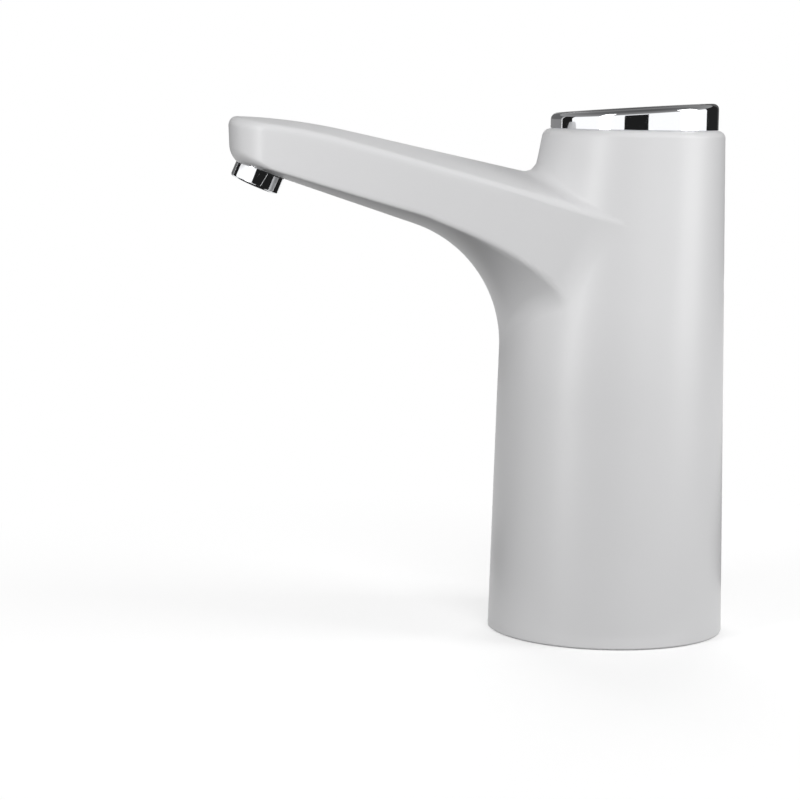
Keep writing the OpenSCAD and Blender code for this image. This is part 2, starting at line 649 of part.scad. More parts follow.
// Ring and button
clip_t = 1.5;
clip_w = 8;
clip_out = 0.8;
module top_ring() {
    inner = rim(ring_in_r, ring_edge_r / 2, -1, 3);
    color("silver") {
        leaning_turn(concat([[ring_r, top_z, false]], rim(ring_r, ring_edge_r, 1, 5),
            [for (i = [3:-1:0]) inner[i]],
            [[ring_in_r, guide_z, false], [ledge_r, guide_z, false], [ledge_r, guide_z - ledge_t, false],
            [skirt_r, guide_z - ledge_t, false], [skirt_r, top_z, false]]), 0, false);
        at_top(top_z - wall - seat_gap - clip_t) around(bolt_turns, skirt_r - clip_out)
            translate([0, -clip_w / 2, 0]) cube([2 * clip_out, clip_w, clip_t]);
    }
}
module light_ring() {
    color("azure") difference() {
        at_top(guide_z + guide_t) ring(light_r, light_r - light_w, top_z + 2 * ring_h - guide_z);
        at_top(top_z + ring_h - button_sink) rotate([0, -ring_tilt, 0])
            translate([-base_r, -base_r, 0]) cube([2 * base_r, 2 * base_r, 2 * ring_h]);
    }
}
button_edge_r = 0.8;
module button() {
    color("whitesmoke") {
        leaning_turn(concat([[button_r, cap_z, false]], rim(button_r, button_edge_r, 1, 3)),
            button_sink, true);
        at_top(stem_end) cylinder(r = stem_r, h = cap_z - stem_end + tiny);
    }
}
spring_low = guide_z + guide_t + spring_wire_r;
spring_high = cap_z - spring_wire_r;
function spring_pt(t) = let (a = 360 * t * spring_turns)
    [top_x + spring_r * cos(a), spring_r * sin(a), mix(spring_low, spring_high, t)];
module button_spring() {
    steps = 10 * spring_turns;
    color("silver") tube([for (i = [0:steps]) spring_pt(i / steps)], spring_wire_r, 0, 6, [0, 0, 1]);
}
module button_guide() {
    color("dimgray") difference() {
        union() {
            at_top(guide_z) cylinder(r = ring_in_r - seat_gap, h = guide_t);
            at_top(switch_z) around(post_turns, post_ring_r) cylinder(r = post_r, h = board_gap + tiny);
        }
        at_top(guide_z - over) cylinder(r = stem_r + free_gap, h = guide_t + 2 * over);
        at_top(switch_z - tiny) around(post_turns, post_ring_r) cylinder(r = screw_r, h = board_gap - over);
    }
}
module button_board() {
    color("darkgreen") at_top(button_board_z) difference() {
        cylinder(r = ledge_r - board_room, h = board_t);
        around(post_turns, post_ring_r) translate([0, 0, -over])
            cylinder(r = screw_r + run_gap, h = board_t + 2 * over);
    }
}
module switch_case() {
    color("black") at_top(switch_z) difference() {
        translate([-switch_w / 2, -switch_w / 2, 0]) cube([switch_w, switch_w, switch_h]);
        translate([0, 0, switch_floor]) cylinder(r = plunger_r + seat_gap, h = switch_h);
    }
}
module switch_plunger() {
    low = switch_z + plunger_low + button_travel;
    color("ivory") at_top(low) cylinder(r = plunger_r, h = stem_end - low);
}

// Spout
module nozzle() {
    color("silver") at_nozzle(0) rotate_extrude() difference() {
        union() {
            translate([0, nozzle_lip]) square([nozzle_r, pocket_at - nozzle_seal_t - nozzle_lip]);
            square([nozzle_r - nozzle_lip, nozzle_lip + tiny]);
            translate([nozzle_r - nozzle_lip, nozzle_lip]) circle(r = nozzle_lip);
            square([spigot_r, spigot_end]);
        }
        square([nozzle_bore_r, pocket_at]);
        square([throat_r, spigot_end + over]);
        translate([-nozzle_r, -over]) square([nozzle_r, 2 * spigot_end]);
    }
}
insert_at = 1.5;
insert_t = 3;
module flow_insert() {
    pitch = 2.6 * flow_hole_r;
    color("white") at_nozzle(insert_at) difference() {
        cylinder(r = nozzle_bore_r - run_gap, h = insert_t);
        for (k = [0:2], a = [0:60:359], i = [0:max(0, k - 1)]) if (k > 0 || a == 0)
            rotate(a) translate([k * pitch - i * pitch / 2, i * pitch * sin(60), -over])
                cylinder(r = flow_hole_r, h = insert_t + 2 * over);
    }
}
module nozzle_seal() {
    color("dimgray") at_nozzle(pocket_at - nozzle_seal_t) ring(nozzle_r, spigot_r + run_gap, nozzle_seal_t);
}
module spout_elbow() {
    color("ivory") difference() {
        union() {
            at_nozzle(elbow_at) cylinder(r = nozzle_r, h = elbow_h);
            translate(branch_pt) rotate([0, 90 + hose_rise, 0]) cylinder(r = barb_r, h = nozzle_r + barb_len);
        }
        at_nozzle(elbow_at - over) cylinder(r = spigot_r + run_gap, h = spigot_hold + over + seat_gap);
        at_nozzle(elbow_at) cylinder(r = bore_r, h = branch_at - elbow_at);
        translate(branch_pt) rotate([0, 90 + hose_rise, 0])
            cylinder(r = cross_r, h = nozzle_r + barb_len + over);
    }
}
module outlet_hose() {
    route = round_route([[pump_x, 0, head_top + seat_gap], outlet_corner, hose_start], hose_bend, 8);
    color("lightblue") tube(route, hose_r, hose_r - hose_wall, hose_sides, [0, 1, 0]);
}

// Diaphragm pump, from the head down to the crank. Water enters the round gallery in the head, passes the
// flaps over the pistons, and leaves through the middle flap and the chamber above it.
chamber_r = 4.6;
chamber_h = 2.6;
gallery_r = 11;
gallery_in_r = 6;
gallery_h = 2;
gallery_y = (gallery_r + gallery_in_r) / 2;
module pump_head() {
    color("gray") at_pump(head_z) difference() {
        union() {
            cylinder(r = pump_r, h = pump_head_h);
            cylinder(r = barb_r, h = pump_head_h + barb_len);
            translate([0, 0, pump_head_h / 2]) rotate([-90, 0, 0])
                cylinder(r = barb_r, h = pump_r + inlet_barb);
        }
        translate([0, 0, -tiny]) cylinder(r = chamber_r, h = chamber_h);
        translate([0, 0, -tiny]) cylinder(r = bore_r, h = pump_head_h + barb_len + over);
        translate([0, 0, -tiny]) ring(gallery_r, gallery_in_r, gallery_h);
        translate([0, gallery_y, -tiny]) cylinder(r = bore_r, h = pump_head_h / 2);
        translate([0, gallery_y, pump_head_h / 2]) rotate([-90, 0, 0])
            cylinder(r = cross_r, h = pump_r + barb_len);
        pump_holes(-over, pump_head_h + 2 * over);
    }
}
valve_r = 2;
outlet_flap_r = 4;
flap_t = 0.5;
stalk_r = 0.5;
stalk_out = 0.3;
knob_r = 0.9;
knob_h = 0.5;
module check_valves() {
    color("tomato") at_pump(0) {
        around(piston_turns, piston_ring_r) translate([0, 0, block_z - flap_t]) {
            cylinder(r = valve_r, h = flap_t);
            cylinder(r = stalk_r, h = flap_t + block_t + stalk_out);
            translate([0, 0, flap_t + block_t]) cylinder(r = knob_r, h = knob_h);
        }
        translate([0, 0, head_z]) cylinder(r = outlet_flap_r, h = flap_t);
        translate([0, 0, head_z - block_t]) cylinder(r = stalk_r, h = block_t + tiny);
    }
}
way_r = 0.5;
way_set = 1.3;
outlet_way_r = 0.6;
outlet_way_ring_r = 3;
module valve_block() {
    h = block_t + 2 * over;
    color("ivory") at_pump(block_z) difference() {
        cylinder(r = pump_r, h = block_t);
        around(piston_turns, piston_ring_r) translate([0, 0, -over]) {
            cylinder(r = stalk_r + run_gap, h = h);
            for (y = [-way_set, way_set]) translate([0, y, 0]) cylinder(r = way_r, h = h);
        }
        around(piston_turns, outlet_way_ring_r) translate([0, 0, -over]) cylinder(r = outlet_way_r, h = h);
        translate([0, 0, -over]) cylinder(r = stalk_r + run_gap, h = h);
        pump_holes(-over, h);
    }
}
lip_wall = 0.8;
lip_drop = 0.8;
lip_room = 0.6;
lip_in_r = piston_r + lip_room;
module diaphragm() {
    color("lightslategray") at_pump(case_top) difference() {
        union() {
            cylinder(r = pump_r, h = sheet_t);
            around(piston_turns, piston_ring_r) translate([0, 0, -lip_drop])
                cylinder(r = lip_in_r + lip_wall, h = lip_drop + sheet_t / 2);
        }
        around(piston_turns, piston_ring_r) translate([0, 0, -over])
            cylinder(r = lip_in_r, h = sheet_t + 2 * over);
        pump_holes(-over, sheet_t + 2 * over);
    }
}
piston_top = 1.9;
stud_r = 1.1;
module pump_pistons() {
    color("lightslategray") at_wobble(0) around(piston_turns, piston_ring_r) {
        translate([0, 0, plate_t - arm_low]) cylinder(r = piston_r, h = arm_low - plate_t - piston_top);
        translate([0, 0, -arm_low - over]) cylinder(r = stud_r, h = plate_t + over + tiny);
    }
}
arm_w = 4.4;
pad_r = 2.8;
hub_roof = 0.8;
module wobble_plate() {
    hub_h = hub_low - arm_low + plate_t;
    color("white") at_wobble(0) difference() {
        union() {
            translate([0, 0, -hub_low]) cylinder(r = hub_r, h = hub_h);
            for (a = piston_turns) rotate(a) {
                translate([0, -arm_w / 2, -arm_low]) cube([piston_ring_r, arm_w, plate_t]);
                translate([piston_ring_r, 0, -arm_low]) cylinder(r = pad_r, h = plate_t);
            }
        }
        translate([0, 0, -hub_low - over]) cylinder(r = shaft_r + run_gap, h = over + hub_h - hub_roof);
        around(piston_turns, piston_ring_r) translate([0, 0, -arm_low - over])
            cylinder(r = stud_r + run_gap, h = plate_t + 2 * over);
    }
}
pin_hold = 3.2;
pin_low = hub_low + pin_hold;
pin_high = arm_low - plate_t + over;
module crank_pin() {
    color("silver") at_wobble(-pin_low) cylinder(r = shaft_r, h = pin_low - pin_high);
}
module crank() {
    color("black") difference() {
        at_pump(crank_z) cylinder(r = crank_r, h = crank_h);
        at_pump(crank_z - over) cylinder(r = shaft_r + run_gap / 2, h = shaft_hold + over);
        at_wobble(-pin_low) cylinder(r = shaft_r + run_gap / 2, h = pin_low);
    }
}
thread_low = 4;
module pump_case() {
    color("gray") at_pump(motor_top) difference() {
        cylinder(r = pump_r, h = case_top - motor_top);
        translate([0, 0, case_floor]) cylinder(r = case_in_r, h = case_top - motor_top);
        translate([0, 0, -over]) cylinder(r = motor_boss_r + run_gap, h = case_floor + 2 * over);
        pump_holes(case_floor + thread_low, case_top);
    }
}
module pump_screws() {
    low = motor_top + case_floor + thread_low + over;
    color("silver") at_pump(low) around(bolt_turns, pump_bolt_r) screw(pump_screw_r, head_top - low, true);
}

// Motor
module motor_can() {
    color("silver") at_pump(motor_z) difference() {
        union() {
            cylinder(r = motor_r, h = motor_len);
            cylinder(r = motor_boss_r, h = motor_len + motor_boss_h);
        }
        translate([0, 0, -over]) cylinder(r = motor_r - can_t, h = motor_len + over - can_t);
        cylinder(r = shaft_r + run_gap, h = motor_len + motor_boss_h + over);
    }
}
magnet_angle = 140;
module motor_magnets() {
    out_r = motor_r - can_t;
    color("dimgray") for (a = [20, 200]) at_pump(motor_z + magnet_set) rotate(a)
        arc_ring(out_r - run_gap, out_r - magnet_t, motor_len - 2 * magnet_set, magnet_angle);
}
module motor_armature() {
    core_r = motor_r - can_t - magnet_t - free_gap;
    color("peru") at_pump(0) {
        translate([0, 0, motor_z + over]) cylinder(r = shaft_r, h = shaft_top - motor_z - over);
        translate([0, 0, motor_z + cap_t + over]) cylinder(r = commutator_r, h = commutator_h);
        translate([0, 0, motor_z + core_set]) difference() {
            cylinder(r = core_r, h = motor_len - core_set - core_room);
            around(post_turns, core_r - slot_depth) translate([0, -slot_w / 2, -over])
                cube([core_r, slot_w, motor_len]);
        }
    }
}
module motor_end_cap() {
    color("white") at_pump(motor_z) difference() {
        union() {
            cylinder(r = motor_r - can_t - run_gap, h = cap_t);
            for (y = [-tab_y, tab_y]) translate([-tab_t / 2, y - tab_w / 2, -tab_len])
                cube([tab_t, tab_w, tab_len + tiny]);
        }
        cylinder(r = shaft_r + run_gap, h = cap_t + over);
    }
}

// Leads follow routes chosen by hand. Their pads and climbs are shares of the body's radius.
function spread(x, y, z) = [x * base_r, y * base_r, z];
lead_bend = 3;
lead_sides = 6;
lead_drop = motor_z - tab_len - lead_r;
lead_fan = 14;
lead_tail = 5;
lead_step = 7;
lead_out = 1.27 * pump_r;
module lead(points, turn_r, side) {
    tube(round_route(points, turn_r, 3), lead_r, 0, lead_sides, side);
}
module motor_leads() {
    color("red") for (y = [-1, 1])
        lead([[pump_x, y * tab_y, lead_drop], [pump_x, y * lead_out, lead_drop],
            spread(0.053, y * 0.533, motor_z + lead_step), spread(0.053, y * 0.533, board_z - lead_fan),
            spread(0.213, y * 0.133, board_z - lead_tail), spread(0.213, y * 0.133, board_z)],
            lead_bend, [1, 0.2, 0.3]);
}

// Battery and boards
module battery_cell() {
    color("steelblue") translate([cell_x, 0, cell_z]) {
        cylinder(r = cell_r, h = cell_len);
        cylinder(r = nub_r, h = cell_len + nub_h);
    }
}
strap_w = 3;
strap_out = 2;
strap_x = cell_x - cradle_r - strap_out;
module battery_contacts() {
    color("silver") {
        translate([cell_x, 0, cell_z - contact_t]) cylinder(r = contact_r, h = contact_t);
        translate([strap_x, -strap_w / 2, cell_z - contact_t]) cube([cell_x - strap_x, strap_w, contact_t]);
        translate([cell_x, 0, cell_top + nub_h]) cylinder(r = contact_r, h = contact_t);
    }
}
module battery_leads() {
    plus_y = cell_r / 3;
    pad_y = 0.75 * cell_r;
    low_x = strap_x + lead_r;
    side_y = -0.6 * cell_r;
    color("red") {
        lead([[cell_x, plus_y, cell_top + nub_h + contact_t], [cell_x, plus_y, board_z - lead_tail - nub_h],
            [cell_x, pad_y, board_z - lead_tail + nub_h], [cell_x, pad_y, board_z]],
            lead_bend / 2, [1, 0, 0]);
        lead([[low_x, 0, cell_z], [low_x, 0, cell_z + lead_step], [low_x, side_y, cell_z + 2 * lead_step],
            [low_x, side_y, cell_top], [cell_x - cell_r + strap_out, side_y, board_z - lead_tail - nub_h],
            [cell_x - cell_r + strap_out, side_y, board_z]], lead_bend, [1, 0.4, 0.2]);
    }
}
board_edge = 3.5;
board_x = post_x - board_edge;
module control_board() {
    hole_h = board_t + 2 * over;
    color("darkgreen") translate([board_x, 0, board_z]) difference() {
        intersection() {
            translate([0, -board_w / 2, 0]) cube([board_len, board_w, board_t]);
            translate([body_x(board_z) - board_x, 0, -over])
                cylinder(r = body_r(board_z) - wall - over, h = hole_h);
        }
        for (y = [-post_y, post_y]) translate([board_edge, y, -over])
            cylinder(r = screw_r + run_gap, h = hole_h);
    }
}
module usb_outline(grow, sides) {
    r = usb_h / 2 + grow;
    for (y = [-1, 1]) translate([y * (usb_w - usb_h) / 2, 0]) circle(r = r, $fn = sides);
    square([usb_w - usb_h, 2 * r], center = true);
}
shell_t = 0.35;
tongue_w = 6.6;
tongue_t = 0.7;
tongue_in = 0.6;
module usb_socket() {
    color("silver") translate([usb_x, 0, usb_z]) rotate([90, 0, -90]) {
        difference() {
            linear_extrude(usb_len) usb_outline(0, 64);
            translate([0, 0, -over]) linear_extrude(usb_len) usb_outline(-shell_t, 64);
        }
        translate([-tongue_w / 2, -tongue_t / 2, tongue_in]) cube([tongue_w, tongue_t, usb_len - over]);
    }
}
module switch_leads() {
    color("yellow") for (y = [-1, 1])
        lead([spread(0.427, y * 0.053, board_z + board_t),
            spread(0.427, y * 0.053, board_z + board_t + 2 * lead_tail),
            spread(0.32, y * 0.133, button_board_z - lead_tail - lead_bend),
            spread(0.32, y * 0.133, button_board_z)], lead_bend, [0.2, 1, 0]);
}
board_hold = 5;
top_hold = 3;
module board_screws() {
    color("silver") {
        for (y = [-post_y, post_y]) translate([post_x, y, board_z - board_hold])
            screw(screw_r, board_hold + board_t, true);
        at_top(button_board_z) around(post_turns, post_ring_r)
            screw(screw_r - run_gap, board_t + top_hold, false);
    }
}

// Frame that holds motor, cell and board
post_out_r = 2.6;
strut_w = 5;
strut_turns = [130, 230, 300];
web_w = 3;
web_drop = 20;
web_end = 4;
window_w = 12;
window_x = 4;
notch_w = 5;
notch_h = 4;
module chassis() {
    color("slategray") difference() {
        union() {
            translate([0, 0, floor_z]) cylinder(r = foot_out_r, h = foot_t);
            translate([cell_x, 0, floor_z]) cylinder(r = cradle_r, h = cell_len - cradle_drop);
            at_pump(clamp_z) cylinder(r = clamp_in_r + clamp_t, h = clamp_h);
            at_pump(floor_z) around(strut_turns, clamp_in_r) translate([0, -strut_w / 2, tiny])
                cube([clamp_t, strut_w, clamp_z - floor_z + clamp_set]);
            for (y = [-post_y, post_y]) translate([post_x, y, floor_z])
                cylinder(r = post_out_r, h = board_z - floor_z);
            translate([pump_x + motor_r, -web_w / 2, clamp_z])
                cube([cell_x - cell_r - pump_x - motor_r, web_w, clamp_h]);
            for (y = [-1, 1]) translate([post_x, y * (post_y - clamp_t / 2) - clamp_t / 2, floor_z])
                cube([cell_x - post_x - web_end, clamp_t, cell_len - web_drop]);
        }
        at_pump(floor_z + foot_t) cylinder(r = clamp_in_r, h = clamp_z + clamp_h);
        translate([cell_x, 0, floor_z + foot_t]) cylinder(r = cradle_in_r, h = cell_len);
        translate([cell_x + window_x, -window_w / 2, floor_z + foot_t]) cube([cradle_r, window_w, cell_len]);
        translate([cell_x - cradle_r - over, -notch_w / 2, floor_z + foot_t - tiny])
            cube([cradle_t + notch_h, notch_w, notch_h]);
        translate([0, 0, floor_z - over]) cylinder(r = flange_r + seat_gap, h = foot_t + 2 * over);
        for (y = [-1, 1]) {
            translate([0, y * foot_ring_r, floor_z - over])
                cylinder(r = screw_r + run_gap, h = foot_t + 2 * over);
            translate([post_x, y * post_y, board_z - board_hold - over])
                cylinder(r = screw_r + run_gap, h = board_hold + 2 * over);
        }
    }
}
module chassis_screws() {
    color("silver") for (y = [-foot_ring_r, foot_ring_r]) translate([0, y, deck_z])
        screw(screw_r, deck_t + foot_t, false);
}

// Base
module base_deck() {
    hole_h = deck_t + 2 * over;
    color("gainsboro") translate([0, 0, deck_z]) difference() {
        cylinder(r = collar_r, h = deck_t);
        translate([0, 0, -over]) cylinder(r = elbow_r + run_gap, h = hole_h);
        around(boss_turns, boss_ring_r) translate([0, 0, -over]) cylinder(r = screw_r + run_gap, h = hole_h);
        around([90, 270], foot_ring_r) translate([0, 0, -over]) cylinder(r = screw_r + run_gap, h = hole_h);
    }
}
module neck_collar() {
    color("gainsboro") difference() {
        cylinder(r1 = shell_in(0) - shell_gap, r2 = shell_in(neck_depth) - shell_gap, h = neck_depth);
        translate([0, 0, -over]) cylinder(r = neck_r, h = neck_depth + 2 * over);
        translate([0, 0, neck_land]) cylinder(r = relief_r, h = neck_depth);
        around(boss_turns, boss_ring_r) translate([0, 0, -over]) {
            cylinder(r = sink_r, h = sink_h + over);
            cylinder(r = screw_r + run_gap, h = neck_depth + 2 * over);
        }
    }
}
module neck_seal() {
    color("white") translate([0, 0, deck_z - seal_t]) ring(relief_r - seat_gap, neck_r - seal_w, seal_t);
}
inlet_angle = 109;
module inlet_nipple() {
    color("ivory") difference() {
        union() {
            translate([0, 0, deck_z - nipple_len]) cylinder(r = nipple_r, h = nipple_len + deck_t);
            translate([0, 0, deck_z]) cylinder(r = elbow_r, h = elbow_z - deck_z);
            translate([0, 0, floor_z]) cylinder(r = flange_r, h = flange_t);
            translate([0, 0, elbow_z]) sphere(r = elbow_r);
            translate([0, 0, elbow_z]) rotate([0, 90, inlet_angle])
                cylinder(r = barb_r, h = elbow_r + barb_len);
        }
        translate([0, 0, deck_z - nipple_len - over])
            cylinder(r = nipple_r - nipple_wall, h = elbow_z - deck_z + nipple_len + over);
        translate([0, 0, elbow_z]) rotate([0, 90, inlet_angle])
            cylinder(r = bore_r, h = elbow_r + barb_len + over);
    }
}
module inlet_hose() {
    out = [cos(inlet_angle), sin(inlet_angle), 0];
    low = [0, 0, elbow_z] + (elbow_r + seat_gap) * out;
    route = round_route([low, [pump_x, inlet_y, elbow_z], [pump_x, inlet_y, inlet_z],
        [pump_x, pump_r + seat_gap, inlet_z]], inlet_bend, 6);
    color("lightblue") tube(route, hose_r, hose_r - hose_wall, hose_sides, [1, 0.3, 0.2]);
}
module base_screws() {
    color("silver") around(boss_turns, boss_ring_r) translate([0, 0, sink_h])
        screw(screw_r, floor_z + boss_h - screw_short - sink_h, false);
}

housing();
top_ring();
light_ring();
button();
button_spring();
button_guide();
button_board();
switch_case();
switch_plunger();
nozzle();
flow_insert();
nozzle_seal();
spout_elbow();
outlet_hose();
pump_head();
check_valves();
valve_block();
diaphragm();
pump_pistons();
wobble_plate();
crank_pin();
crank();
pump_case();
pump_screws();
motor_can();
motor_magnets();
motor_armature();
motor_end_cap();
motor_leads();
battery_cell();
battery_contacts();
battery_leads();
control_board();
usb_socket();
switch_leads();
board_screws();
chassis();
chassis_screws();
base_deck();
neck_collar();
neck_seal();
inlet_nipple();
inlet_hose();
base_screws();
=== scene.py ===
import json
import math
from types import SimpleNamespace

import bmesh
import bpy
import numpy as np
from mathutils import Matrix, Vector


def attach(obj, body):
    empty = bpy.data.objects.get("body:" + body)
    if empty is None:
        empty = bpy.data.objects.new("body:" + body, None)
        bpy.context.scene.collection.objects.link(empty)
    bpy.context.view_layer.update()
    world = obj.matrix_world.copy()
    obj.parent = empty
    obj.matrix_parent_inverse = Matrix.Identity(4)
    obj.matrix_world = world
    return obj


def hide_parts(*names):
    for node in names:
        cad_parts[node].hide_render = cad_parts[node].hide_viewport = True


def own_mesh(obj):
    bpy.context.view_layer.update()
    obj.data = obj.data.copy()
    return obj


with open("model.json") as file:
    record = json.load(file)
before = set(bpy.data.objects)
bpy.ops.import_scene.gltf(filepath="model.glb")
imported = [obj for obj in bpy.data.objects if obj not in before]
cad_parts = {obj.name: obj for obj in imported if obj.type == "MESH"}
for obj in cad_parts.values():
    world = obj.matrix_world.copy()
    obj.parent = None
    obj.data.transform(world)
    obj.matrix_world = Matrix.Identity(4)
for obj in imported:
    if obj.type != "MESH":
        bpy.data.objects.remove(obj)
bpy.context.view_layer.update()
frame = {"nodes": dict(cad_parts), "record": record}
nodes = frame["nodes"]
scene = bpy.context.scene
scene.view_settings.view_transform = "Standard"
mm = 0.001  # sizes below are in millimetres

camera = dict(place=(-67, -826, 171), pitch=6.8, roll=0.9, lens=117, sensor=36)


def makeCamera(c):
    data = bpy.data.cameras.new("photoCamera")
    data.lens = c["lens"]
    data.sensor_width = c["sensor"]
    data.clip_end = 50
    eye = bpy.data.objects.new("photoCamera", data)
    scene.collection.objects.link(eye)
    tip = Matrix.Rotation(math.radians(90 - c["pitch"]), 4, "X")
    roll = Matrix.Rotation(math.radians(c["roll"]), 4, "Z")
    eye.matrix_world = Matrix.Translation(Vector(c["place"]) * mm) @ tip @ roll
    scene.camera = eye


makeCamera(camera)
print("camera set")


# Shader groups that several finishes share: they only put out values that change over the surface.
def valueGroup(name, inputs, outputs):
    group = bpy.data.node_groups.new(name, "ShaderNodeTree")
    for label, value in inputs.items():
        socket = group.interface.new_socket(label, in_out="INPUT", socket_type="NodeSocketFloat")
        socket.default_value = value
    for label in outputs:
        group.interface.new_socket(label, in_out="OUTPUT", socket_type="NodeSocketFloat")
    start = group.nodes.new("NodeGroupInput")
    end = group.nodes.new("NodeGroupOutput")
    return group, start, end


def addNode(tree, kind, links=(), **values):
    node = tree.nodes.new(kind)
    for label, value in values.items():
        socket = node.inputs.get(label.replace("_", " ").title())
        if socket is None:
            setattr(node, label, value)
        else:
            socket.default_value = value
    for label, source in dict(links).items():
        tree.links.new(source, node.inputs[label])
    return node


def mouldGrain():
    group, start, end = valueGroup("mouldGrain", {"Fineness": 2600, "Cloud Size": 22}, ["Grain", "Cloud"])
    place = addNode(group, "ShaderNodeTexCoord").outputs["Object"]
    fine = addNode(group, "ShaderNodeTexNoise",
                   {"Vector": place, "Scale": start.outputs["Fineness"]}, detail=2.0)
    broad = addNode(group, "ShaderNodeTexNoise",
                    {"Vector": place, "Scale": start.outputs["Cloud Size"]}, detail=3.0)
    group.links.new(fine.outputs["Fac"], end.inputs["Grain"])
    group.links.new(broad.outputs["Fac"], end.inputs["Cloud"])
    return group


def drawnLines():
    group, start, end = valueGroup("drawnLines", {"Pitch": 5200, "Stretch": 0.03}, ["Lines", "Cloud"])
    place = addNode(group, "ShaderNodeTexCoord").outputs["Object"]
    parts = addNode(group, "ShaderNodeSeparateXYZ", {"Vector": place})
    low = addNode(group, "ShaderNodeMath",
                  {0: parts.outputs["Z"], 1: start.outputs["Stretch"]}, operation="MULTIPLY")
    flat = addNode(group, "ShaderNodeCombineXYZ",
                   {"X": parts.outputs["X"], "Y": parts.outputs["Y"], "Z": low.outputs[0]})
    lines = addNode(group, "ShaderNodeTexNoise", {"Vector": flat.outputs[0], "Scale": start.outputs["Pitch"]})
    broad = addNode(group, "ShaderNodeTexNoise", {"Vector": place}, scale=60.0)
    group.links.new(lines.outputs["Fac"], end.inputs["Lines"])
    group.links.new(broad.outputs["Fac"], end.inputs["Cloud"])
    return group


def woundTurns():
    group, start, end = valueGroup("woundTurns", {"Pitch": 900, "Unevenness": 2}, ["Turns", "Cloud"])
    place = addNode(group, "ShaderNodeTexCoord").outputs["Object"]
    turns = addNode(group, "ShaderNodeTexWave",
                    {"Vector": place, "Scale": start.outputs["Pitch"], "Distortion": start.outputs["Unevenness"]},
                    bands_direction="Z")
    broad = addNode(group, "ShaderNodeTexNoise", {"Vector": place}, scale=150.0)
    group.links.new(turns.outputs["Fac"], end.inputs["Turns"])
    group.links.new(broad.outputs["Fac"], end.inputs["Cloud"])
    return group


def boardTracks():
    group, start, end = valueGroup("boardTracks", {"Pitch": 420}, ["Tracks", "Cloud"])
    place = addNode(group, "ShaderNodeTexCoord").outputs["Object"]
    tracks = addNode(group, "ShaderNodeTexBrick",
                     {"Vector": place, "Scale": start.outputs["Pitch"]}, mortar_size=0.06)
    broad = addNode(group, "ShaderNodeTexNoise", {"Vector": place}, scale=400.0)
    group.links.new(tracks.outputs["Fac"], end.inputs["Tracks"])
    group.links.new(broad.outputs["Fac"], end.inputs["Cloud"])
    return group


groups = {"mould": mouldGrain(), "drawn": drawnLines(), "wound": woundTurns(), "board": boardTracks()}


def tone(red, green=None, blue=None):  # screen levels to linear colour
    levels = [v / 255 for v in (red, red if green is None else green, red if blue is None else blue)]
    return [v / 12.92 if v <= 0.04045 else ((v + 0.055) / 1.055) ** 2.4 for v in levels] + [1]


finishes = {
    "shell_plastic": dict(light=tone(224, 224, 225), shade=tone(219, 219, 220), rough=(0.33, 0.39), bump=0.05),
    "chrome": dict(light=tone(240, 241, 243), shade=tone(232, 233, 236), rough=(0.035, 0.06), bump=0.006,
                   plain={"Metallic": 1.0}),
    "light_plastic": dict(light=tone(243, 247, 250), shade=tone(234, 240, 246), rough=(0.22, 0.3), bump=0.02,
                          plain={"Transmission Weight": 0.25, "IOR": 1.49}),
    "button_plastic": dict(light=tone(228, 228, 229), shade=tone(222, 222, 224), rough=(0.2, 0.27), bump=0.02),
    "steel": dict(light=tone(205, 207, 210), shade=tone(184, 187, 191), rough=(0.18, 0.34), bump=0.05,
                  group="drawn", plain={"Metallic": 1.0}),
    "dark_plastic": dict(light=tone(46, 46, 49), shade=tone(36, 36, 39), rough=(0.42, 0.55), bump=0.1),
    "ivory_plastic": dict(light=tone(240, 238, 230), shade=tone(231, 228, 219), rough=(0.36, 0.46), bump=0.06),
    "grey_plastic": dict(light=tone(150, 152, 156), shade=tone(134, 136, 141), rough=(0.42, 0.54), bump=0.1),
    "board_laminate": dict(light=tone(30, 120, 72), shade=tone(18, 92, 54), rough=(0.28, 0.42), bump=0.12,
                           group="board"),
    "seal_rubber": dict(light=tone(226, 226, 223), shade=tone(214, 214, 210), rough=(0.5, 0.62), bump=0.05),
    "pump_rubber": dict(light=tone(72, 74, 78), shade=tone(58, 60, 64), rough=(0.55, 0.7), bump=0.08),
    "hose_silicone": dict(light=tone(236, 240, 241), shade=tone(226, 232, 234), rough=(0.26, 0.36), bump=0.03,
                          plain={"Transmission Weight": 0.4, "IOR": 1.41}),
    "copper": dict(light=tone(214, 138, 84), shade=tone(150, 84, 46), rough=(0.24, 0.4), bump=0.6, group="wound",
                   plain={"Metallic": 1.0}),
    "ferrite": dict(light=tone(70, 70, 72), shade=tone(52, 52, 55), rough=(0.6, 0.8), bump=0.2),
    "cell_wrap": dict(light=tone(62, 104, 160), shade=tone(50, 88, 142), rough=(0.24, 0.34), bump=0.03),
    "lead_red": dict(light=tone(196, 40, 34), shade=tone(170, 30, 26), rough=(0.35, 0.45), bump=0.04),
    "lead_yellow": dict(light=tone(224, 186, 52), shade=tone(204, 164, 40), rough=(0.35, 0.45), bump=0.04),
}
grainDepth = 0.00004


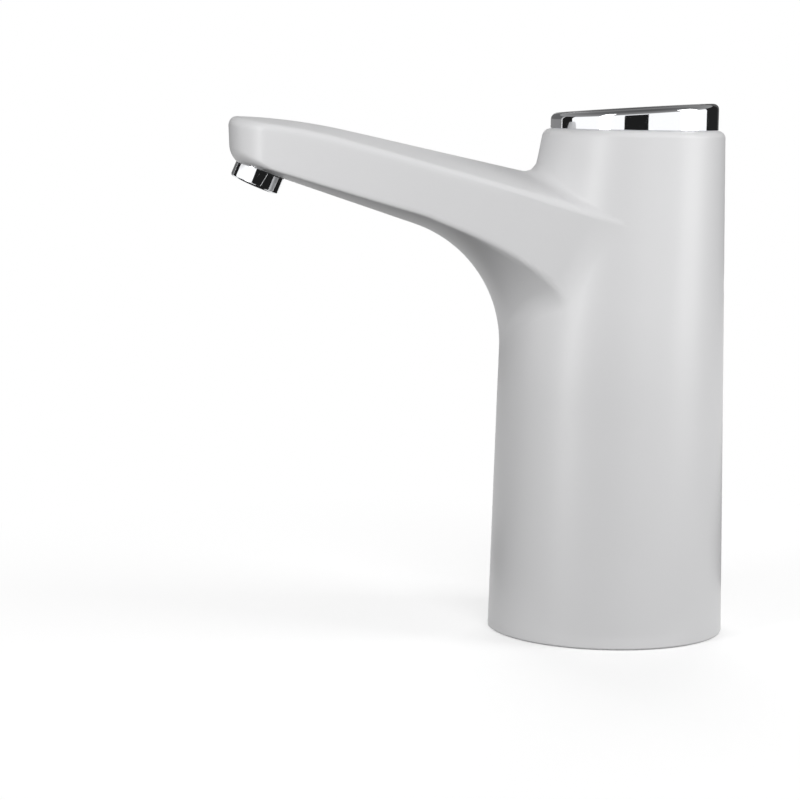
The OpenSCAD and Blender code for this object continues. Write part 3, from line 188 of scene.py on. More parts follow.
def makeFinish(name, light, shade, rough, bump, group="mould", plain=None):
    mat = bpy.data.materials.new(name)
    mat.use_nodes = True
    tree = mat.node_tree
    shader = tree.nodes["Principled BSDF"]
    effect = addNode(tree, "ShaderNodeGroup", node_tree=groups[group])
    fine, broad = effect.outputs[0], effect.outputs["Cloud"]
    mix = addNode(tree, "ShaderNodeMix", data_type="RGBA")
    colourMask = broad if group == "mould" else fine
    tree.links.new(colourMask, mix.inputs["Factor"])
    mix.inputs[6].default_value = light
    mix.inputs[7].default_value = shade
    tree.links.new(mix.outputs[2], shader.inputs["Base Color"])
    spread = addNode(tree, "ShaderNodeMapRange", {"Value": broad}, to_min=rough[0], to_max=rough[1])
    tree.links.new(spread.outputs[0], shader.inputs["Roughness"])
    relief = addNode(tree, "ShaderNodeBump", {"Height": fine}, strength=bump, distance=grainDepth)
    tree.links.new(relief.outputs[0], shader.inputs["Normal"])
    for label, value in (plain or {}).items():
        shader.inputs[label].default_value = value
    return mat


finishOf = {name: makeFinish(name, **values) for name, values in finishes.items()}
slotOf = {part["node"]: part["material_slot"] for part in frame["record"]["subparts"]}
for nodeName, node in nodes.items():
    node.data.materials.clear()
    node.data.materials.append(finishOf[slotOf[nodeName]])
print("finishes:", len(finishOf))


def makePiece(name, mesh, body, slot, *replaced):
    piece = bpy.data.objects.new(name, mesh)
    scene.collection.objects.link(piece)
    mesh.materials.clear()
    mesh.materials.append(finishOf[slot])
    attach(piece, body)
    if replaced:
        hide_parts(*replaced)
    return piece


def meshFrom(name, points, faces):
    mesh = bpy.data.meshes.new(name)
    mesh.from_pydata((np.asarray(points, float) * mm).tolist(), [], [list(map(int, f)) for f in faces])
    work = bmesh.new()
    work.from_mesh(mesh)
    bmesh.ops.recalc_face_normals(work, faces=work.faces)
    work.to_mesh(mesh)
    work.free()
    mesh.validate()
    return mesh


def smoothEdges(mesh, angle=32):
    mesh.shade_smooth()
    mesh.set_sharp_from_angle(angle=math.radians(angle))


# Shell: a signed gap to the skin gives both the mesh and its normals.
shell = dict(baseR=37.5, wallDraft=1.15, leanZ=91, frontLean=10.5, leanBlend=14, topZ=159.7, wall=2.5,
             shoulderR=2.2, footR=0.8, armReach=122.7, tipR=15, rootR=31.6, rootX=3.5, ridgeZ=139.9,
             ridgeSlope=12, levelLen=37.7, levelDrop=3.95, crownR=66, bendR=40, bellySlope=18, bellyR=60,
             armEdgeR=1.6, creaseR=0.7, tipEdgeR=3, tipCreaseR=4.5, tipLean=0.07, valleyR=4, valleyShare=0.3,
             sideBlend=2, rootSag=0.03, rootFade=63, rootPower=1.5, rootCap=0.62, rootKnee=6, fadeX=-2, fadeR=40,
             blendDrop=14, blendH=10, blendW=20, valleyW=14, blendLen=24, openingR=24.4173, tiny=0.01)
s = SimpleNamespace(**shell)


def sind(a): return np.sin(np.radians(a))
def cosd(a): return np.cos(np.radians(a))
def tand(a): return np.tan(np.radians(a))


tipX = s.tipR - s.armReach
leanGain = tand(s.frontLean) - tand(s.wallDraft)
bendEnd = 90 - s.bellySlope
sideSin = (s.tipR - s.rootR) / (s.rootX - tipX)
sideCos = math.sqrt(1 - sideSin ** 2)


def mixed(a, b, t): return a + (b - a) * t
def ramp(t, w): return np.where(t <= -w, 0, np.where(t >= w, t, (t + w) ** 2 / (4 * w)))
def backX(z): return s.baseR - z * tand(s.wallDraft)
def frontX(z): return leanGain * ramp(z - s.leanZ, s.leanBlend) - backX(z)
def bodyX(z): return (backX(z) + frontX(z)) / 2
def bodyR(z): return (backX(z) - frontX(z)) / 2


bendX = -backX(s.leanZ) - s.bendR
bellyX = bendX + s.bendR * cosd(bendEnd)
bellyZ = s.leanZ + s.bendR * sind(bendEnd)
topX = float(bodyX(s.topZ))


def ridgeH(x):
    level = np.maximum(0, (s.levelLen - s.armReach - x) / s.levelLen)
    return s.ridgeZ - x * tand(s.ridgeSlope) - s.levelDrop * level ** 2


def bellySag(a):
    t = np.maximum(0, 1 - a / s.rootFade) ** s.rootPower
    knee = t * s.rootCap / (t ** s.rootKnee + s.rootCap ** s.rootKnee) ** (1 / s.rootKnee)
    return 1 / (2 * s.bellyR) + s.rootSag * knee


def halfW(x):
    tip = np.sqrt(np.maximum(s.tiny, s.tipR ** 2 - (x - tipX) ** 2))
    return np.where(x < tipX, tip, (s.tipR - sideSin * (x - tipX)) / sideCos)


def edgeCut(t, r): return np.where(t <= 0, 0, r - np.sqrt(np.maximum(0, r * r - t * t)))


def roundAnd(a, b, r):
    return np.minimum(np.maximum(a, b), -r) + np.hypot(np.maximum(a + r, 0), np.maximum(b + r, 0))


def roundOr(a, b, r):
    soft = np.maximum(np.minimum(a, b), r) - np.hypot(np.maximum(r - a, 0), np.maximum(r - b, 0))
    return np.where(r < s.tiny, np.minimum(a, b), soft)


def skinGap(p, inset):
    x, y, z = p[..., 0], np.abs(p[..., 1]), p[..., 2]
    body = np.hypot(x - bodyX(z), y) - bodyR(z)
    if inset == 0:  # only the outer skin has rounded rims
        body = body + edgeCut(z - s.topZ + s.shoulderR, s.shoulderR) + edgeCut(s.footR - z, s.footR)
    along = x - tipX
    straight = sideCos * y + sideSin * along - s.tipR + np.maximum(0, x - s.fadeX) ** 2 / (2 * s.fadeR)
    out = np.maximum(s.tiny, np.hypot(along, y))
    lean = s.tipLean * np.maximum(0, ridgeH(x) - z) * np.maximum(0, sideSin - along / out) ** 2
    side = np.where(sideCos * along - sideSin * y < 0, out - s.tipR + lean, straight)
    crown = (z - ridgeH(x) + y * y / (2 * s.crownR)) * cosd(s.ridgeSlope)
    dx, dz = x - bendX, z - s.leanZ
    a = np.clip(np.degrees(np.arctan2(dz, dx)), -s.wallDraft, bendEnd)
    belly = s.bendR - dx * cosd(a) - dz * sind(a) + bellySag(a) * y * y
    tip = np.clip(-along / s.tipR, 0, 1)
    arm = roundAnd(np.maximum(side, x - s.rootX), crown, mixed(s.armEdgeR, s.tipEdgeR, tip))
    arm = roundAnd(arm, belly, mixed(s.creaseR, s.tipCreaseR, tip))
    lowBlend = s.sideBlend * np.clip(y / s.blendW, 0, 1)
    highBlend = mixed(s.valleyR, s.sideBlend, np.clip((y - s.valleyW) / s.blendW, 0, 1))
    rise = np.clip((z - s.ridgeZ + s.blendDrop) / s.blendH, 0, 1)
    blend = np.clip((s.rootX - x) / s.blendLen, 0, 1) * mixed(lowBlend, highBlend, rise)
    return inset + roundOr(body, arm, blend)


def onSkin(start, way, far, inset):
    near = np.zeros(way.shape[:-1])
    far = np.broadcast_to(far, near.shape).astype(float)
    for _ in range(w.halvings):
        mid = (near + far) / 2
        out = skinGap(start + mid[..., None] * way, inset) > 0
        far, near = np.where(out, mid, far), np.where(out, near, mid)
    return start + ((near + far) / 2)[..., None] * way


# How the skin is divided: columns round the body, sections along the arm.
weave = dict(grain=12, bendShare=0.45, tipShare=0.845, tipTurn=88.5, columnEase=1.15, foreX=12, lowEnd=-16,
             turnMin=60, spanShare=0.9, crownEase=1.3, creaseSteps=(-0.5, 0, 0.5), edgeSteps=(-1, -0.5, 0, 0.5),
             turns=5, halvings=32, rayRoom=6,
             lowRows=(0.25, 0.5, 0.72, 0.83, 0.88, 0.92, 0.96), highRows=6, footSteps=5, shoulderSteps=9)
w = SimpleNamespace(**weave)
columns = 6 * w.grain + 8
loopCount = 5 * w.grain + len(w.creaseSteps) + len(w.edgeSteps) + 2
creaseAt = 2 * w.grain + 1 + w.creaseSteps.index(0)
edgeAt = 3 * w.grain + 2 + len(w.creaseSteps) + w.edgeSteps.index(0)
tipH = ridgeH(-s.armReach) - s.leanZ - (s.bendR + (s.armReach + bendX) * cosd(bendEnd)) / sind(bendEnd)
bellyLen = (bellyX + s.armReach - s.tipLean * (1 + sideSin) ** 2 * tipH) / cosd(s.bellySlope)
valleyX = frontX(ridgeH(frontX(ridgeH(-bodyR(s.leanZ))))) - s.valleyShare * s.valleyR


def bellyPoint(share):
    if share < w.bendShare:
        a = bendEnd * share / w.bendShare
        return np.array([bendX + s.bendR * cosd(a), 0, s.leanZ + s.bendR * sind(a)])
    t = bellyLen * (share - w.bendShare) / (1 - w.bendShare)
    return np.array([bellyX - t * cosd(s.bellySlope), 0, bellyZ + t * sind(s.bellySlope)])


def ridgePoint(share):
    x = mixed(valleyX, -s.armReach, share)
    return np.array([x, 0, ridgeH(x)])


def edgeH(x): return ridgeH(x) - halfW(x) ** 2 / (2 * s.crownR)


def creaseH(x):
    a = np.full(np.shape(x), bendEnd / 2)
    for _ in range(w.turns):
        out = s.bendR + bellySag(a) * halfW(x) ** 2
        dx = x - bendX
        bent = np.sqrt(np.maximum(0, out ** 2 - dx ** 2))
        rise = np.where(a >= bendEnd, (out - dx * cosd(bendEnd)) / sind(bendEnd), bent)
        a = np.minimum(bendEnd, np.degrees(np.arctan2(rise, dx)))
    return s.leanZ + rise


def edgeTurn(mid, up, level):
    x = mid[0]
    for _ in range(w.turns):
        v = (level(x) - mid[2]) / up[2]
        angle = np.degrees(np.arctan2(halfW(x), -v))
        x = mid[0] + v * up[0]
    return float(angle)


def armHalf(share, inset):
    low, high = bellyPoint(share), ridgePoint(share)
    mid, up = (low + high) / 2, (high - low) / np.linalg.norm(high - low)
    c, e = edgeTurn(mid, up, creaseH), edgeTurn(mid, up, edgeH)
    tall, wide = np.linalg.norm(high - low) / 2, float(halfW(mid[0]))
    nearTip = np.clip((tipX - mid[0]) / s.tipR, 0, 1)

    def span(r, room):  # the angle that a rounding takes, within the room beside it
        return min(np.degrees(np.arctan(w.spanShare / np.hypot(tall, wide) * r)), room)

    creaseSpan = span(mixed(s.creaseR, s.tipCreaseR, nearTip), min(c / 2, (e - c) / 4))
    edgeSpan = span(mixed(s.armEdgeR, s.tipEdgeR, nearTip), min((180 - e) / 2, (e - c) / 4))
    g = w.grain
    under = (c - creaseSpan) * np.arange(2 * g + 1) / (2 * g)
    crease = c + creaseSpan * np.array(w.creaseSteps)
    flank = mixed(c + creaseSpan, e - edgeSpan, np.arange(g + 1) / (g + 1))
    edge = e + edgeSpan * np.array(w.edgeSteps)
    over = mixed(e + edgeSpan, 180, (np.arange(2 * g + 1) / (2 * g)) ** w.crownEase)
    a = np.concatenate([under, crease, flank, edge, over])
    way = np.stack([-cosd(a) * up[0], -sind(a), -cosd(a) * up[2]], -1)
    far = 1 / np.maximum(np.abs(cosd(a)) / tall, sind(a) / wide) + w.rayRoom
    return onSkin(mid, way, far, inset)


def mirrored(half, count):
    return np.concatenate([half, half[::-1][1:count + 1] * [1, -1, 1]])


def rayFrom(z): return np.stack([bodyX(z) - w.foreX, 0 * z, z], -1)


def reach(z, a):
    return w.foreX * cosd(a) + np.sqrt((bodyR(z) + w.rayRoom) ** 2 - (w.foreX * sind(a)) ** 2)


def turnShares(): return 1 - (np.arange(columns + 1) / columns) ** w.columnEase


def rowRound(z, inset):
    a = 180 * turnShares()
    level = np.full(a.shape, float(z))
    way = np.stack([cosd(a), -sind(a), 0 * a], -1)
    return mirrored(onSkin(rayFrom(level), way, reach(level, a), inset), columns)


def rowFrom(p, shares, starts, inset):
    origin = rayFrom(np.array(p[2]))
    q = float(np.degrees(np.arctan2(-p[1], p[0] - origin[0])))
    a = q * turnShares()

    def follow(angle):
        slant = np.maximum(s.tiny, sideCos * sind(angle) + sideSin * cosd(angle))
        run = (s.tipR - sideSin * (origin[0] - tipX)) / slant
        x = np.where(angle < w.turnMin, s.rootX, origin[0] + run * cosd(angle))
        crease = creaseH(np.clip(x, starts[0], w.lowEnd))
        return shares[0] * crease + shares[1] * edgeH(np.clip(x, starts[1], s.rootX))

    z = p[2] + follow(a) - follow(np.array(q))
    way = np.stack([cosd(a), -sind(a), 0 * a], -1)
    half = onSkin(rayFrom(z), way, np.maximum(np.linalg.norm(p - origin) + 1, reach(z, a)), inset)
    half[0] = p
    return mirrored(half, columns)


def skinGrid(inset, zLow, zHigh):
    loop = armHalf(0, inset)
    zBend, zTop = loop[0][2], loop[-1][2]
    crease, edge = loop[creaseAt], loop[edgeAt]
    low = [mixed(zLow, zBend, t) for t in w.lowRows]
    ends = [s.footR * (1 - sind(a)) for a in np.linspace(90, 0, w.footSteps)] if inset == 0 else [zLow]
    low = ends + low
    highEnd = s.topZ - s.shoulderR if inset == 0 else zHigh
    high = [mixed(zTop, highEnd, i / w.highRows) for i in range(1, w.highRows + 1)]
    if inset == 0:
        high += [s.topZ - s.shoulderR * (1 - sind(a)) for a in np.linspace(0, 90, w.shoulderSteps)[1:]]
    rows = [rowRound(z, inset) for z in low + [zBend]]
    for p in loop[1:-1]:
        z = p[2]
        if z < crease[2]:
            shares = ((z - zBend) / (crease[2] - zBend), 0)
        elif z < edge[2]:
            t = (z - crease[2]) / (edge[2] - crease[2])
            shares = (1 - t, t)
        else:
            shares = (0, (zTop - z) / (zTop - edge[2]))
        rows.append(rowFrom(p, shares, (crease[0], edge[0]), inset))
    rows += [rowRound(z, inset) for z in [zTop] + high]
    g = w.grain
    stations = [w.tipShare * i / (4 * g) for i in range(1, 4 * g + 1)]
    tipEnd = 1 - inset / (s.armReach + valleyX)
    stations += [mixed(w.tipShare, tipEnd, sind(w.tipTurn * i / (2 * g + 1))) for i in range(1, 2 * g + 2)]
    rings = [mirrored(armHalf(t, inset), loopCount - 1) for t in stations]
    return rows, rings, len(low)


def skinFaces(rows, rings, first, base):
    width, last = 2 * columns + 1, first + loopCount
    around = 2 * loopCount

    def at(j, i):
        return base + j * width + (0 if i == 2 * columns and (j <= first or j >= last) else i)

    def onRing(k, i):
        if k > 0:
            return base + len(rows) * width + (k - 1) * around + i % around
        return at(first + i, 0) if i <= loopCount else at(last - (i - loopCount), 2 * columns)

    faces = [[at(j, i), at(j, i + 1), at(j + 1, i + 1), at(j + 1, i)]
             for j in range(len(rows) - 1) for i in range(2 * columns)]
    faces += [[onRing(k, i), onRing(k, i + 1), onRing(k + 1, i + 1), onRing(k + 1, i)]
              for k in range(len(rings)) for i in range(around)]
    faces.append([onRing(len(rings), i) for i in range(around)])
    foot = [at(0, i) for i in range(2 * columns)]
    head = [at(len(rows) - 1, i) for i in range(2 * columns)]
    return faces, foot, head


def strip(a, b):
    count = len(a)
    return [[a[i], a[(i + 1) % count], b[(i + 1) % count], b[i]] for i in range(count)]


def closedShell():
    outRows, outRings, outFirst = skinGrid(0, 0, s.topZ)
    inRows, inRings, inFirst = skinGrid(s.wall, 0, s.topZ - s.wall)
    points = np.concatenate(outRows + outRings)
    faces, outFoot, outHead = skinFaces(outRows, outRings, outFirst, 0)
    inFaces, inFoot, inHead = skinFaces(inRows, inRings, inFirst, len(points))
    points = np.concatenate([points] + inRows + inRings)
    rim = points[outHead]
    turn = np.arctan2(rim[:, 1], rim[:, 0] - topX)
    hole = [np.stack([topX + s.openingR * np.cos(turn), s.openingR * np.sin(turn), np.full(len(turn), z)], -1)
            for z in (s.topZ, s.topZ - s.wall)]
    upper = list(range(len(points), len(points) + len(turn)))
    lower = [i + len(turn) for i in upper]
    points = np.concatenate([points] + hole)
    faces += inFaces + strip(outFoot, inFoot)
    faces += strip(outHead, upper) + strip(upper, lower) + strip(lower, inHead)
    return points, faces


# Rounded outlines for turned pieces: each corner is (radius, height, rounding).
def softened(corners, steps=6):
    path = []
    for i, (x, z, r) in enumerate(corners):
        here = np.array([x, z], float)
        if r == 0 or i in (0, len(corners) - 1):
            path.append(here)
            continue
        before, after = np.array(corners[i - 1][:2], float), np.array(corners[i + 1][:2], float)
        u = (before - here) / np.linalg.norm(before - here)
        v = (after - here) / np.linalg.norm(after - here)
        half = math.acos(float(np.clip(u @ v, -1, 1))) / 2
        centre = here + (u + v) / np.linalg.norm(u + v) * r / math.sin(half)
        a, b = here + u * r / math.tan(half) - centre, here + v * r / math.tan(half) - centre
        turn = math.pi - 2 * half
        path += [centre + (a * math.sin(turn * (1 - k / steps)) + b * math.sin(turn * k / steps)) / math.sin(turn)
                 for k in range(steps + 1)]
    return path


def turned(name, rows, sides=160, closed=True, place=None):
    points, faces, rings = [], [], []
    angles = np.linspace(0, 2 * math.pi, sides, endpoint=False)
    for r, z, lift in rows:
        if r < 1e-6:
            rings.append([len(points)] * sides)
            points.append([0, 0, z + (lift(np.array([0.0]))[0] if lift else 0)])
            continue
        rings.append(list(range(len(points), len(points) + sides)))
        x, y = r * np.cos(angles), r * np.sin(angles)
        level = z + (lift(x) if lift else 0 * x)
        points += np.stack([x, y, level], -1).tolist()
    pairs = list(zip(rings, rings[1:])) + ([(rings[-1], rings[0])] if closed else [])
    for a, b in pairs:
        for f in strip(a, b):
            f = list(dict.fromkeys(f))
            if len(f) > 2:
                faces.append(f)
    points = np.array(points)
    if place is not None:
        points = np.array([place @ Vector(p) for p in points])
    mesh = meshFrom(name, points, faces)
    smoothEdges(mesh)
    return mesh


def plainRows(path): return [(x, z, None) for x, z in path]


nozzle = dict(base=(-114.421, 0, 140.408), tilt=22.6, outR=8, boreR=5.2, lip=0.9, seatAt=5.4, pocketAt=6.2,
              spigotR=6.5, throatR=3.2, spigotEnd=11.3, gap=0.2, holeEnd=9.9, below=3, sides=160, seatSides=96)
port = dict(x=31.757, z=111.73, width=13, height=7, rim=1.5, lip=1, socketW=8.94, socketH=3.26, gap=0.2,
            out=6, over=0.01)
normalsOf = dict(sharp=25, step=0.01, near=0.06)  # how skin faces are told from cut ones
nozzlePlace = Matrix.Translation(nozzle["base"]) @ Matrix.Rotation(math.radians(nozzle["tilt"]), 4, "Y")


def stadium(name, width, height, x0, x1, z, steps=24):
    angles = np.linspace(-90, 90, steps)
    half = (width - height) / 2
    right = [(half + height / 2 * cosd(a), height / 2 * sind(a)) for a in angles]
    outline = right + [(-y, -h) for y, h in right]
    count = len(outline)
    points = [[x, y, z + h] for x in (x0, x1) for y, h in outline]
    faces = [list(range(count)), list(range(count, 2 * count))]
    faces += [[i, (i + 1) % count, count + (i + 1) % count, count + i] for i in range(count)]
    return meshFrom(name, points, faces)


def block(name, low, high):
    points = [[x, y, z] for x in (low[0], high[0]) for y in (low[1], high[1]) for z in (low[2], high[2])]
    faces = [[0, 1, 3, 2], [4, 6, 7, 5], [0, 4, 5, 1], [2, 3, 7, 6], [0, 2, 6, 4], [1, 5, 7, 3]]
    return meshFrom(name, points, faces)


def combined(mesh, steps):
    work = bpy.data.objects.new("shellWork", mesh)
    scene.collection.objects.link(work)
    tools = []
    for operation, tool in steps:
        helper = bpy.data.objects.new("shellTool", tool)
        scene.collection.objects.link(helper)
        tools.append(helper)
        cut = work.modifiers.new("cut", "BOOLEAN")
        cut.operation, cut.object, cut.solver = operation, helper, "EXACT"
    result = bpy.data.meshes.new_from_object(work.evaluated_get(bpy.context.evaluated_depsgraph_get()))
    for helper in tools + [work]:
        bpy.data.objects.remove(helper)
    return result


def skinNormals(mesh):
    smoothEdges(mesh, normalsOf["sharp"])
    points = np.array([v.co for v in mesh.vertices]) / mm
    corner = np.array([loop.vertex_index for loop in mesh.loops])
    owner = np.repeat(np.arange(len(mesh.polygons)), [p.loop_total for p in mesh.polygons])
    centres = np.array([p.center for p in mesh.polygons]) / mm
    normals = np.zeros((len(corner), 3))
    step = np.eye(3) * normalsOf["step"]
    for inset, way in ((0, 1), (s.wall, -1)):
        near = np.abs(skinGap(centres, inset)) < normalsOf["near"]
        lean = np.stack([skinGap(points + e, inset) - skinGap(points - e, inset) for e in step], -1)
        lean = way * lean / np.maximum(1e-9, np.linalg.norm(lean, axis=-1, keepdims=True))
        chosen = near[owner]
        normals[chosen] = lean[corner][chosen]
    mesh.normals_split_custom_set(normals.tolist())


def makeShell():
    points, faces = closedShell()
    mesh = meshFrom("shellSkin", points, faces)
    n, p = SimpleNamespace(**nozzle), SimpleNamespace(**port)
    half, tall = p.width / 2 + p.rim, p.height / 2 + p.rim
    back = p.x + p.lip + s.wall / 2
    pocket = block("portPocket", (p.x - p.rim, -half, p.z - tall), (back, half, p.z + tall))
    bore = [(0, -n.below, 0), (n.outR + n.gap, -n.below, 0), (n.outR + n.gap, n.pocketAt, 0),
            (n.spigotR + n.gap, n.pocketAt, 0), (n.spigotR + n.gap, n.holeEnd, 0), (0, n.holeEnd, 0)]
    seat = turned("nozzleSeat", plainRows(softened(bore)), n.seatSides, False, nozzlePlace)
    slit = stadium("portSlit", p.width, p.height, p.x, s.baseR + p.out, p.z)
    window = stadium("portWindow", p.socketW + 2 * p.gap, p.socketH + 2 * p.gap, p.x - 2 * p.rim, p.x + p.over, p.z)
    mesh = combined(mesh, [("UNION", pocket), ("DIFFERENCE", seat), ("DIFFERENCE", slit), ("DIFFERENCE", window)])
    mesh.name = "shellSkin"
    skinNormals(mesh)
    return makePiece("shellSkin", mesh, "body", "shell_plastic", "housing")


shellPiece = makeShell()
print("shell:", len(shellPiece.data.polygons), "faces")

# Top: chrome ring, light ring and button share one leaning plane.
top = dict(ringR=26.4173, ringIn=22.2173, ringH=6.7, tilt=4.2, edgeR=1.9, skirtR=24.2173, ledgeR=20.0173, guideZ=152,
           ledgeT=2, lightR=22.0173, lightW=1.1, lightLow=154, sink=0.6, buttonR=20.5173, buttonEdge=0.8, capZ=159,
           stemR=3.5, stemEnd=151.2, stemEdge=0.4, dish=0.7, dishIn=2.4, dishRows=14, rimIn=2.2, rest=0.25,
           lightEdge=0.25, deep=3, ringSides=224, sides=192)
topPlace = Matrix.Translation((topX, 0, 0))


def leaning(sink):
    return lambda x: s.topZ + top["ringH"] - sink + x * tand(top["tilt"])


def leaningRows(corners, sink, steps=8):
    return [(x, z, leaning(sink)) for x, z in softened(corners, steps)]


def makeTop():
    t = SimpleNamespace(**top)
    foot = s.topZ
    crown = leaningRows([(t.ringR, -t.deep, 0), (t.ringR, 0, t.edgeR), (t.ringIn, 0, t.edgeR / 2),
                         (t.ringIn, -t.deep, 0)], 0, 10)
    skirt = plainRows([(t.ringIn, t.guideZ), (t.ledgeR, t.guideZ), (t.ledgeR, t.guideZ - t.ledgeT),
                       (t.skirtR, t.guideZ - t.ledgeT), (t.skirtR, foot), (t.ringR - t.rest, foot),
                       (t.ringR, foot + t.rest)])
    ring = turned("topRing", crown + skirt, t.ringSides, True, topPlace)
    makePiece("topRing", ring, "body", "chrome", "top_ring")
    lightIn = t.lightR - t.lightW
    glow = leaningRows([(t.lightR, -t.deep, 0), (t.lightR, 0, t.lightEdge), (lightIn, 0, t.lightEdge),
                        (lightIn, -t.deep, 0)], t.sink, 4)
    glow += plainRows([(lightIn, t.lightLow), (t.lightR, t.lightLow)])
    light = turned("lightRing", glow, t.sides, True, topPlace)
    makePiece("lightRing", light, "body", "light_plastic", "light_ring")
    dishR = t.buttonR - t.dishIn
    hollow = [(r, -t.dish * (1 - (r / dishR) ** 2) ** 2, leaning(t.sink)) for r in np.linspace(0, dishR, t.dishRows)]
    rim = leaningRows([(t.buttonR - t.rimIn, 0, 0), (t.buttonR, 0, t.buttonEdge), (t.buttonR, -t.deep, 0)], t.sink)
    under = plainRows([(t.buttonR, t.capZ), (t.stemR, t.capZ), (t.stemR, t.stemEnd + t.stemEdge),
                       (t.stemR - t.stemEdge, t.stemEnd), (0, t.stemEnd)])
    cap = turned("buttonCap", hollow + rim + under, t.sides, False, topPlace)
    makePiece("buttonCap", cap, "button", "button_plastic", "button")


makeTop()
print("top ring, light ring and button made")

spring = dict(low=154.45, high=158.55, radius=6, wire=0.45, turns=4, steps=48, sides=12, keep=0.8, foot=0.154)


def makeSpring():
    p = SimpleNamespace(**spring)
    count = p.turns * p.steps
    points = []
    for i in range(count + 1):
        a = 2 * math.pi * i / p.steps
        out = np.array([math.cos(a), math.sin(a), 0])
        heart = p.radius * out + [topX, 0, mixed(p.low, p.high, i / count)]
        for b in np.linspace(0, 2 * math.pi, p.sides, endpoint=False):
            points.append(heart + p.wire * (math.cos(b) * out + math.sin(b) * np.array([0, 0, 1])))
    rings = [list(range(i * p.sides, (i + 1) * p.sides)) for i in range(count + 1)]
    faces = [f for a, b in zip(rings, rings[1:]) for f in strip(a, b)] + [rings[0], rings[-1]]
    mesh = meshFrom("springCoil", points, faces)
    smoothEdges(mesh, 50)
    coil = makePiece("springCoil", mesh, "body", "steel", "button_spring")
    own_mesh(coil)


makeSpring()
print("spring made")


def makeNozzle():
    n = SimpleNamespace(**nozzle)
    outline = softened([(n.outR, n.seatAt, 0), (n.outR, 0, n.lip), (n.boreR, 0, n.lip / 2),
                        (n.boreR, n.pocketAt, 0)], 9)
    outline += [(n.throatR, n.pocketAt), (n.throatR, n.spigotEnd), (n.spigotR, n.spigotEnd), (n.spigotR, n.seatAt)]
    sleeve = turned("nozzleSleeve", plainRows(outline), n.sides, True, nozzlePlace)
    makePiece("nozzleSleeve", sleeve, "body", "chrome", "nozzle")


makeNozzle()
print("nozzle made")

# Studio: pale floor, soft boxes at left, right, front and back, and cards that only reflections show.
# Each stands at a turn from the front and faces the object, level unless it looks at another height.
studio = dict(ambient=0.2, mirrorSky=1.18, ceiling=0.34, ceilingFrom=0.3, ceilingTo=0.37, zenith=0.3,
              floorTone=0.62, floorBounce=0.09, floorGlow=0.43, floorSize=8, fadeFrom=0.08, fadeTo=0.28,
              boxes=[dict(turn=-45, away=0.7, height=0.41, size=(0.19, 0.8), watts=2.75, mirrored=True),
                     dict(turn=76, away=0.7, height=0.42, size=(0.36, 0.8), watts=3.6, mirrored=True),
                     dict(turn=8, away=0.95, height=0.55, look=0.1, size=(0.5, 0.4), watts=4.5, mirrored=False),
                     dict(turn=182, away=0.9, height=0.5, look=0.1, size=(0.8, 0.6), watts=6.3, mirrored=False)],
              cards=[dict(turn=-2, away=1.3, height=0.17, size=(0.75, 0.5), level=0.015),
                     dict(turn=-110, away=0.9, height=0.235, size=(0.36, 0.63), level=0.015),
                     dict(turn=-151, away=0.9, height=0.055, size=(0.95, 0.27), level=0.26),
                     dict(turn=-151, away=0.9, height=0.37, size=(0.95, 0.36), level=0.14),
                     dict(turn=131, away=0.9, height=0.2975, size=(0.7, 0.505), level=0.02),
                     dict(turn=166, away=0.9, height=0.2975, size=(0.45, 0.505), level=0.1)],
              lowCards=[dict(place=(0.13, -0.19, 0.004), size=(0.5, 0.31), level=0.015),
                        dict(place=(0.05, -0.81, 0.004), size=(0.66, 0.9), level=0.015),
                        dict(place=(0.09, 0.26, 0.004), size=(0.22, 0.42), level=0.015),
                        dict(place=(-0.35, -0.03, 0.004), size=(0.53, 0.3), level=0.02)])


def facing(piece):
    a = math.radians(piece["turn"])
    place = Vector((math.sin(a) * piece["away"], -math.cos(a) * piece["away"], piece["height"]))
    look = piece.get("look", piece["height"])
    aim = (Vector((0, 0, look)) - place).to_track_quat("-Z", "Y")
    return Matrix.Translation(place) @ aim.to_matrix().to_4x4()


def worked(tree, operation, first, second):
    node = addNode(tree, "ShaderNodeMath", operation=operation)
    for socket, value in zip(node.inputs, (first, second)):
        if isinstance(value, (int, float)):
            socket.default_value = value
        else:
            tree.links.new(value, socket)
    return node.outputs[0]


def makeWorld():
    world = bpy.data.worlds.new("studioWorld")
    world.use_nodes = True
    scene.world = world
    tree = world.node_tree
    sky = tree.nodes["Background"]
    sky.inputs["Color"].default_value = (1, 1, 1, 1)
    path = addNode(tree, "ShaderNodeLightPath").outputs
    way = addNode(tree, "ShaderNodeTexCoord").outputs["Generated"]
    height = addNode(tree, "ShaderNodeSeparateXYZ", {"Vector": way}).outputs["Z"]
    low = addNode(tree, "ShaderNodeMapRange", {"Value": height}, from_min=studio["ceilingFrom"],
                  from_max=studio["ceilingTo"], to_min=studio["mirrorSky"], to_max=studio["ceiling"]).outputs[0]
    high = addNode(tree, "ShaderNodeMapRange", {"Value": height}, from_min=studio["ceilingTo"],
                   to_min=1.0, to_max=studio["zenith"]).outputs[0]
    mirrored = worked(tree, "MULTIPLY", path["Is Glossy Ray"], worked(tree, "MULTIPLY", low, high))
    seen = worked(tree, "MAXIMUM", path["Is Camera Ray"], path["Is Transmission Ray"])
    soft = worked(tree, "MULTIPLY", path["Is Diffuse Ray"], studio["ambient"])
    level = worked(tree, "MAXIMUM", seen, worked(tree, "MAXIMUM", mirrored, soft))
    tree.links.new(level, sky.inputs["Strength"])


def sheet(name, x, y):
    return meshFrom(name, [(-x, -y, 0), (x, -y, 0), (x, y, 0), (-x, y, 0)], [[0, 1, 2, 3]])


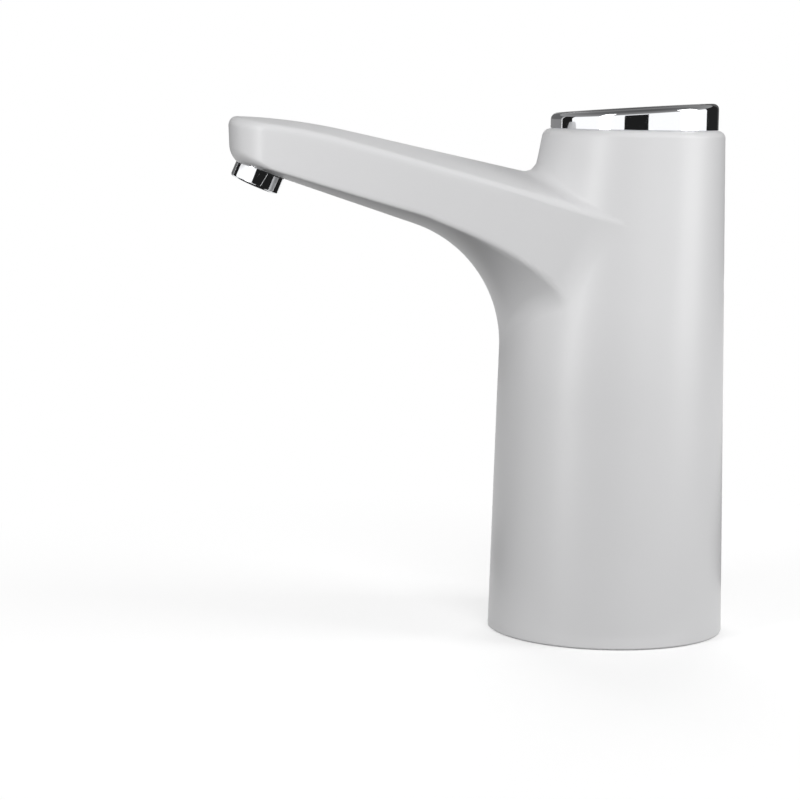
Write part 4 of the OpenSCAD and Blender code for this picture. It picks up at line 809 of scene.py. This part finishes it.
def makeFloor():
    half = studio["floorSize"] / 2 / mm
    mesh = sheet("floorSheet", half, half)
    floor = bpy.data.objects.new("floorSheet", mesh)
    scene.collection.objects.link(floor)
    mat = bpy.data.materials.new("paleFloor")
    mat.use_nodes = True
    tree = mat.node_tree
    tree.nodes.remove(tree.nodes["Principled BSDF"])
    path = addNode(tree, "ShaderNodeLightPath").outputs
    seen = worked(tree, "MAXIMUM", worked(tree, "MAXIMUM", path["Is Camera Ray"], path["Is Glossy Ray"]),
                  path["Is Transmission Ray"])
    paint = addNode(tree, "ShaderNodeMapRange", {"Value": seen},
                    to_min=studio["floorBounce"], to_max=studio["floorTone"])
    matte = addNode(tree, "ShaderNodeBsdfDiffuse", {"Color": paint.outputs[0]})
    glow = addNode(tree, "ShaderNodeEmission", {"Strength": worked(tree, "MULTIPLY", seen, studio["floorGlow"])})
    near = addNode(tree, "ShaderNodeAddShader", {0: matte.outputs[0], 1: glow.outputs[0]})
    far = addNode(tree, "ShaderNodeEmission", {"Strength": seen})
    place = addNode(tree, "ShaderNodeTexCoord").outputs["Object"]
    run = addNode(tree, "ShaderNodeVectorMath", {0: place}, operation="LENGTH")
    fade = addNode(tree, "ShaderNodeMapRange", {"Value": run.outputs["Value"]}, from_min=studio["fadeFrom"],
                   from_max=studio["fadeTo"])
    both = addNode(tree, "ShaderNodeMixShader", {0: fade.outputs[0], 1: near.outputs[0], 2: far.outputs[0]})
    tree.links.new(both.outputs[0], tree.nodes["Material Output"].inputs["Surface"])
    mesh.materials.append(mat)


def makeCards():
    places = [(facing(c), c) for c in studio["cards"]]
    places += [(Matrix.Translation(c["place"]), c) for c in studio["lowCards"]]
    for i, (place, c) in enumerate(places):
        mat = bpy.data.materials.new(f"cardFace{i}")
        mat.use_nodes = True
        tree = mat.node_tree
        tree.nodes.remove(tree.nodes["Principled BSDF"])
        face = addNode(tree, "ShaderNodeEmission")
        face.inputs["Strength"].default_value = c["level"]
        tree.links.new(face.outputs[0], tree.nodes["Material Output"].inputs["Surface"])
        x, y = c["size"][0] / 2 / mm, c["size"][1] / 2 / mm
        mesh = sheet(f"studioCard{i}", x, y)
        mesh.materials.append(mat)
        card = bpy.data.objects.new(f"studioCard{i}", mesh)
        scene.collection.objects.link(card)
        card.matrix_world = place
        card.visible_camera = card.visible_diffuse = card.visible_shadow = card.visible_transmission = False


def makeLamps():
    for i, b in enumerate(studio["boxes"]):
        data = bpy.data.lights.new(f"softBox{i}", "AREA")
        data.shape = "RECTANGLE"
        data.size, data.size_y = b["size"]
        data.energy = b["watts"]
        lamp = bpy.data.objects.new(f"softBox{i}", data)
        scene.collection.objects.link(lamp)
        lamp.matrix_world = facing(b)
        lamp.visible_glossy = b["mirrored"]


makeWorld()
makeFloor()
makeCards()
makeLamps()
print("studio made")
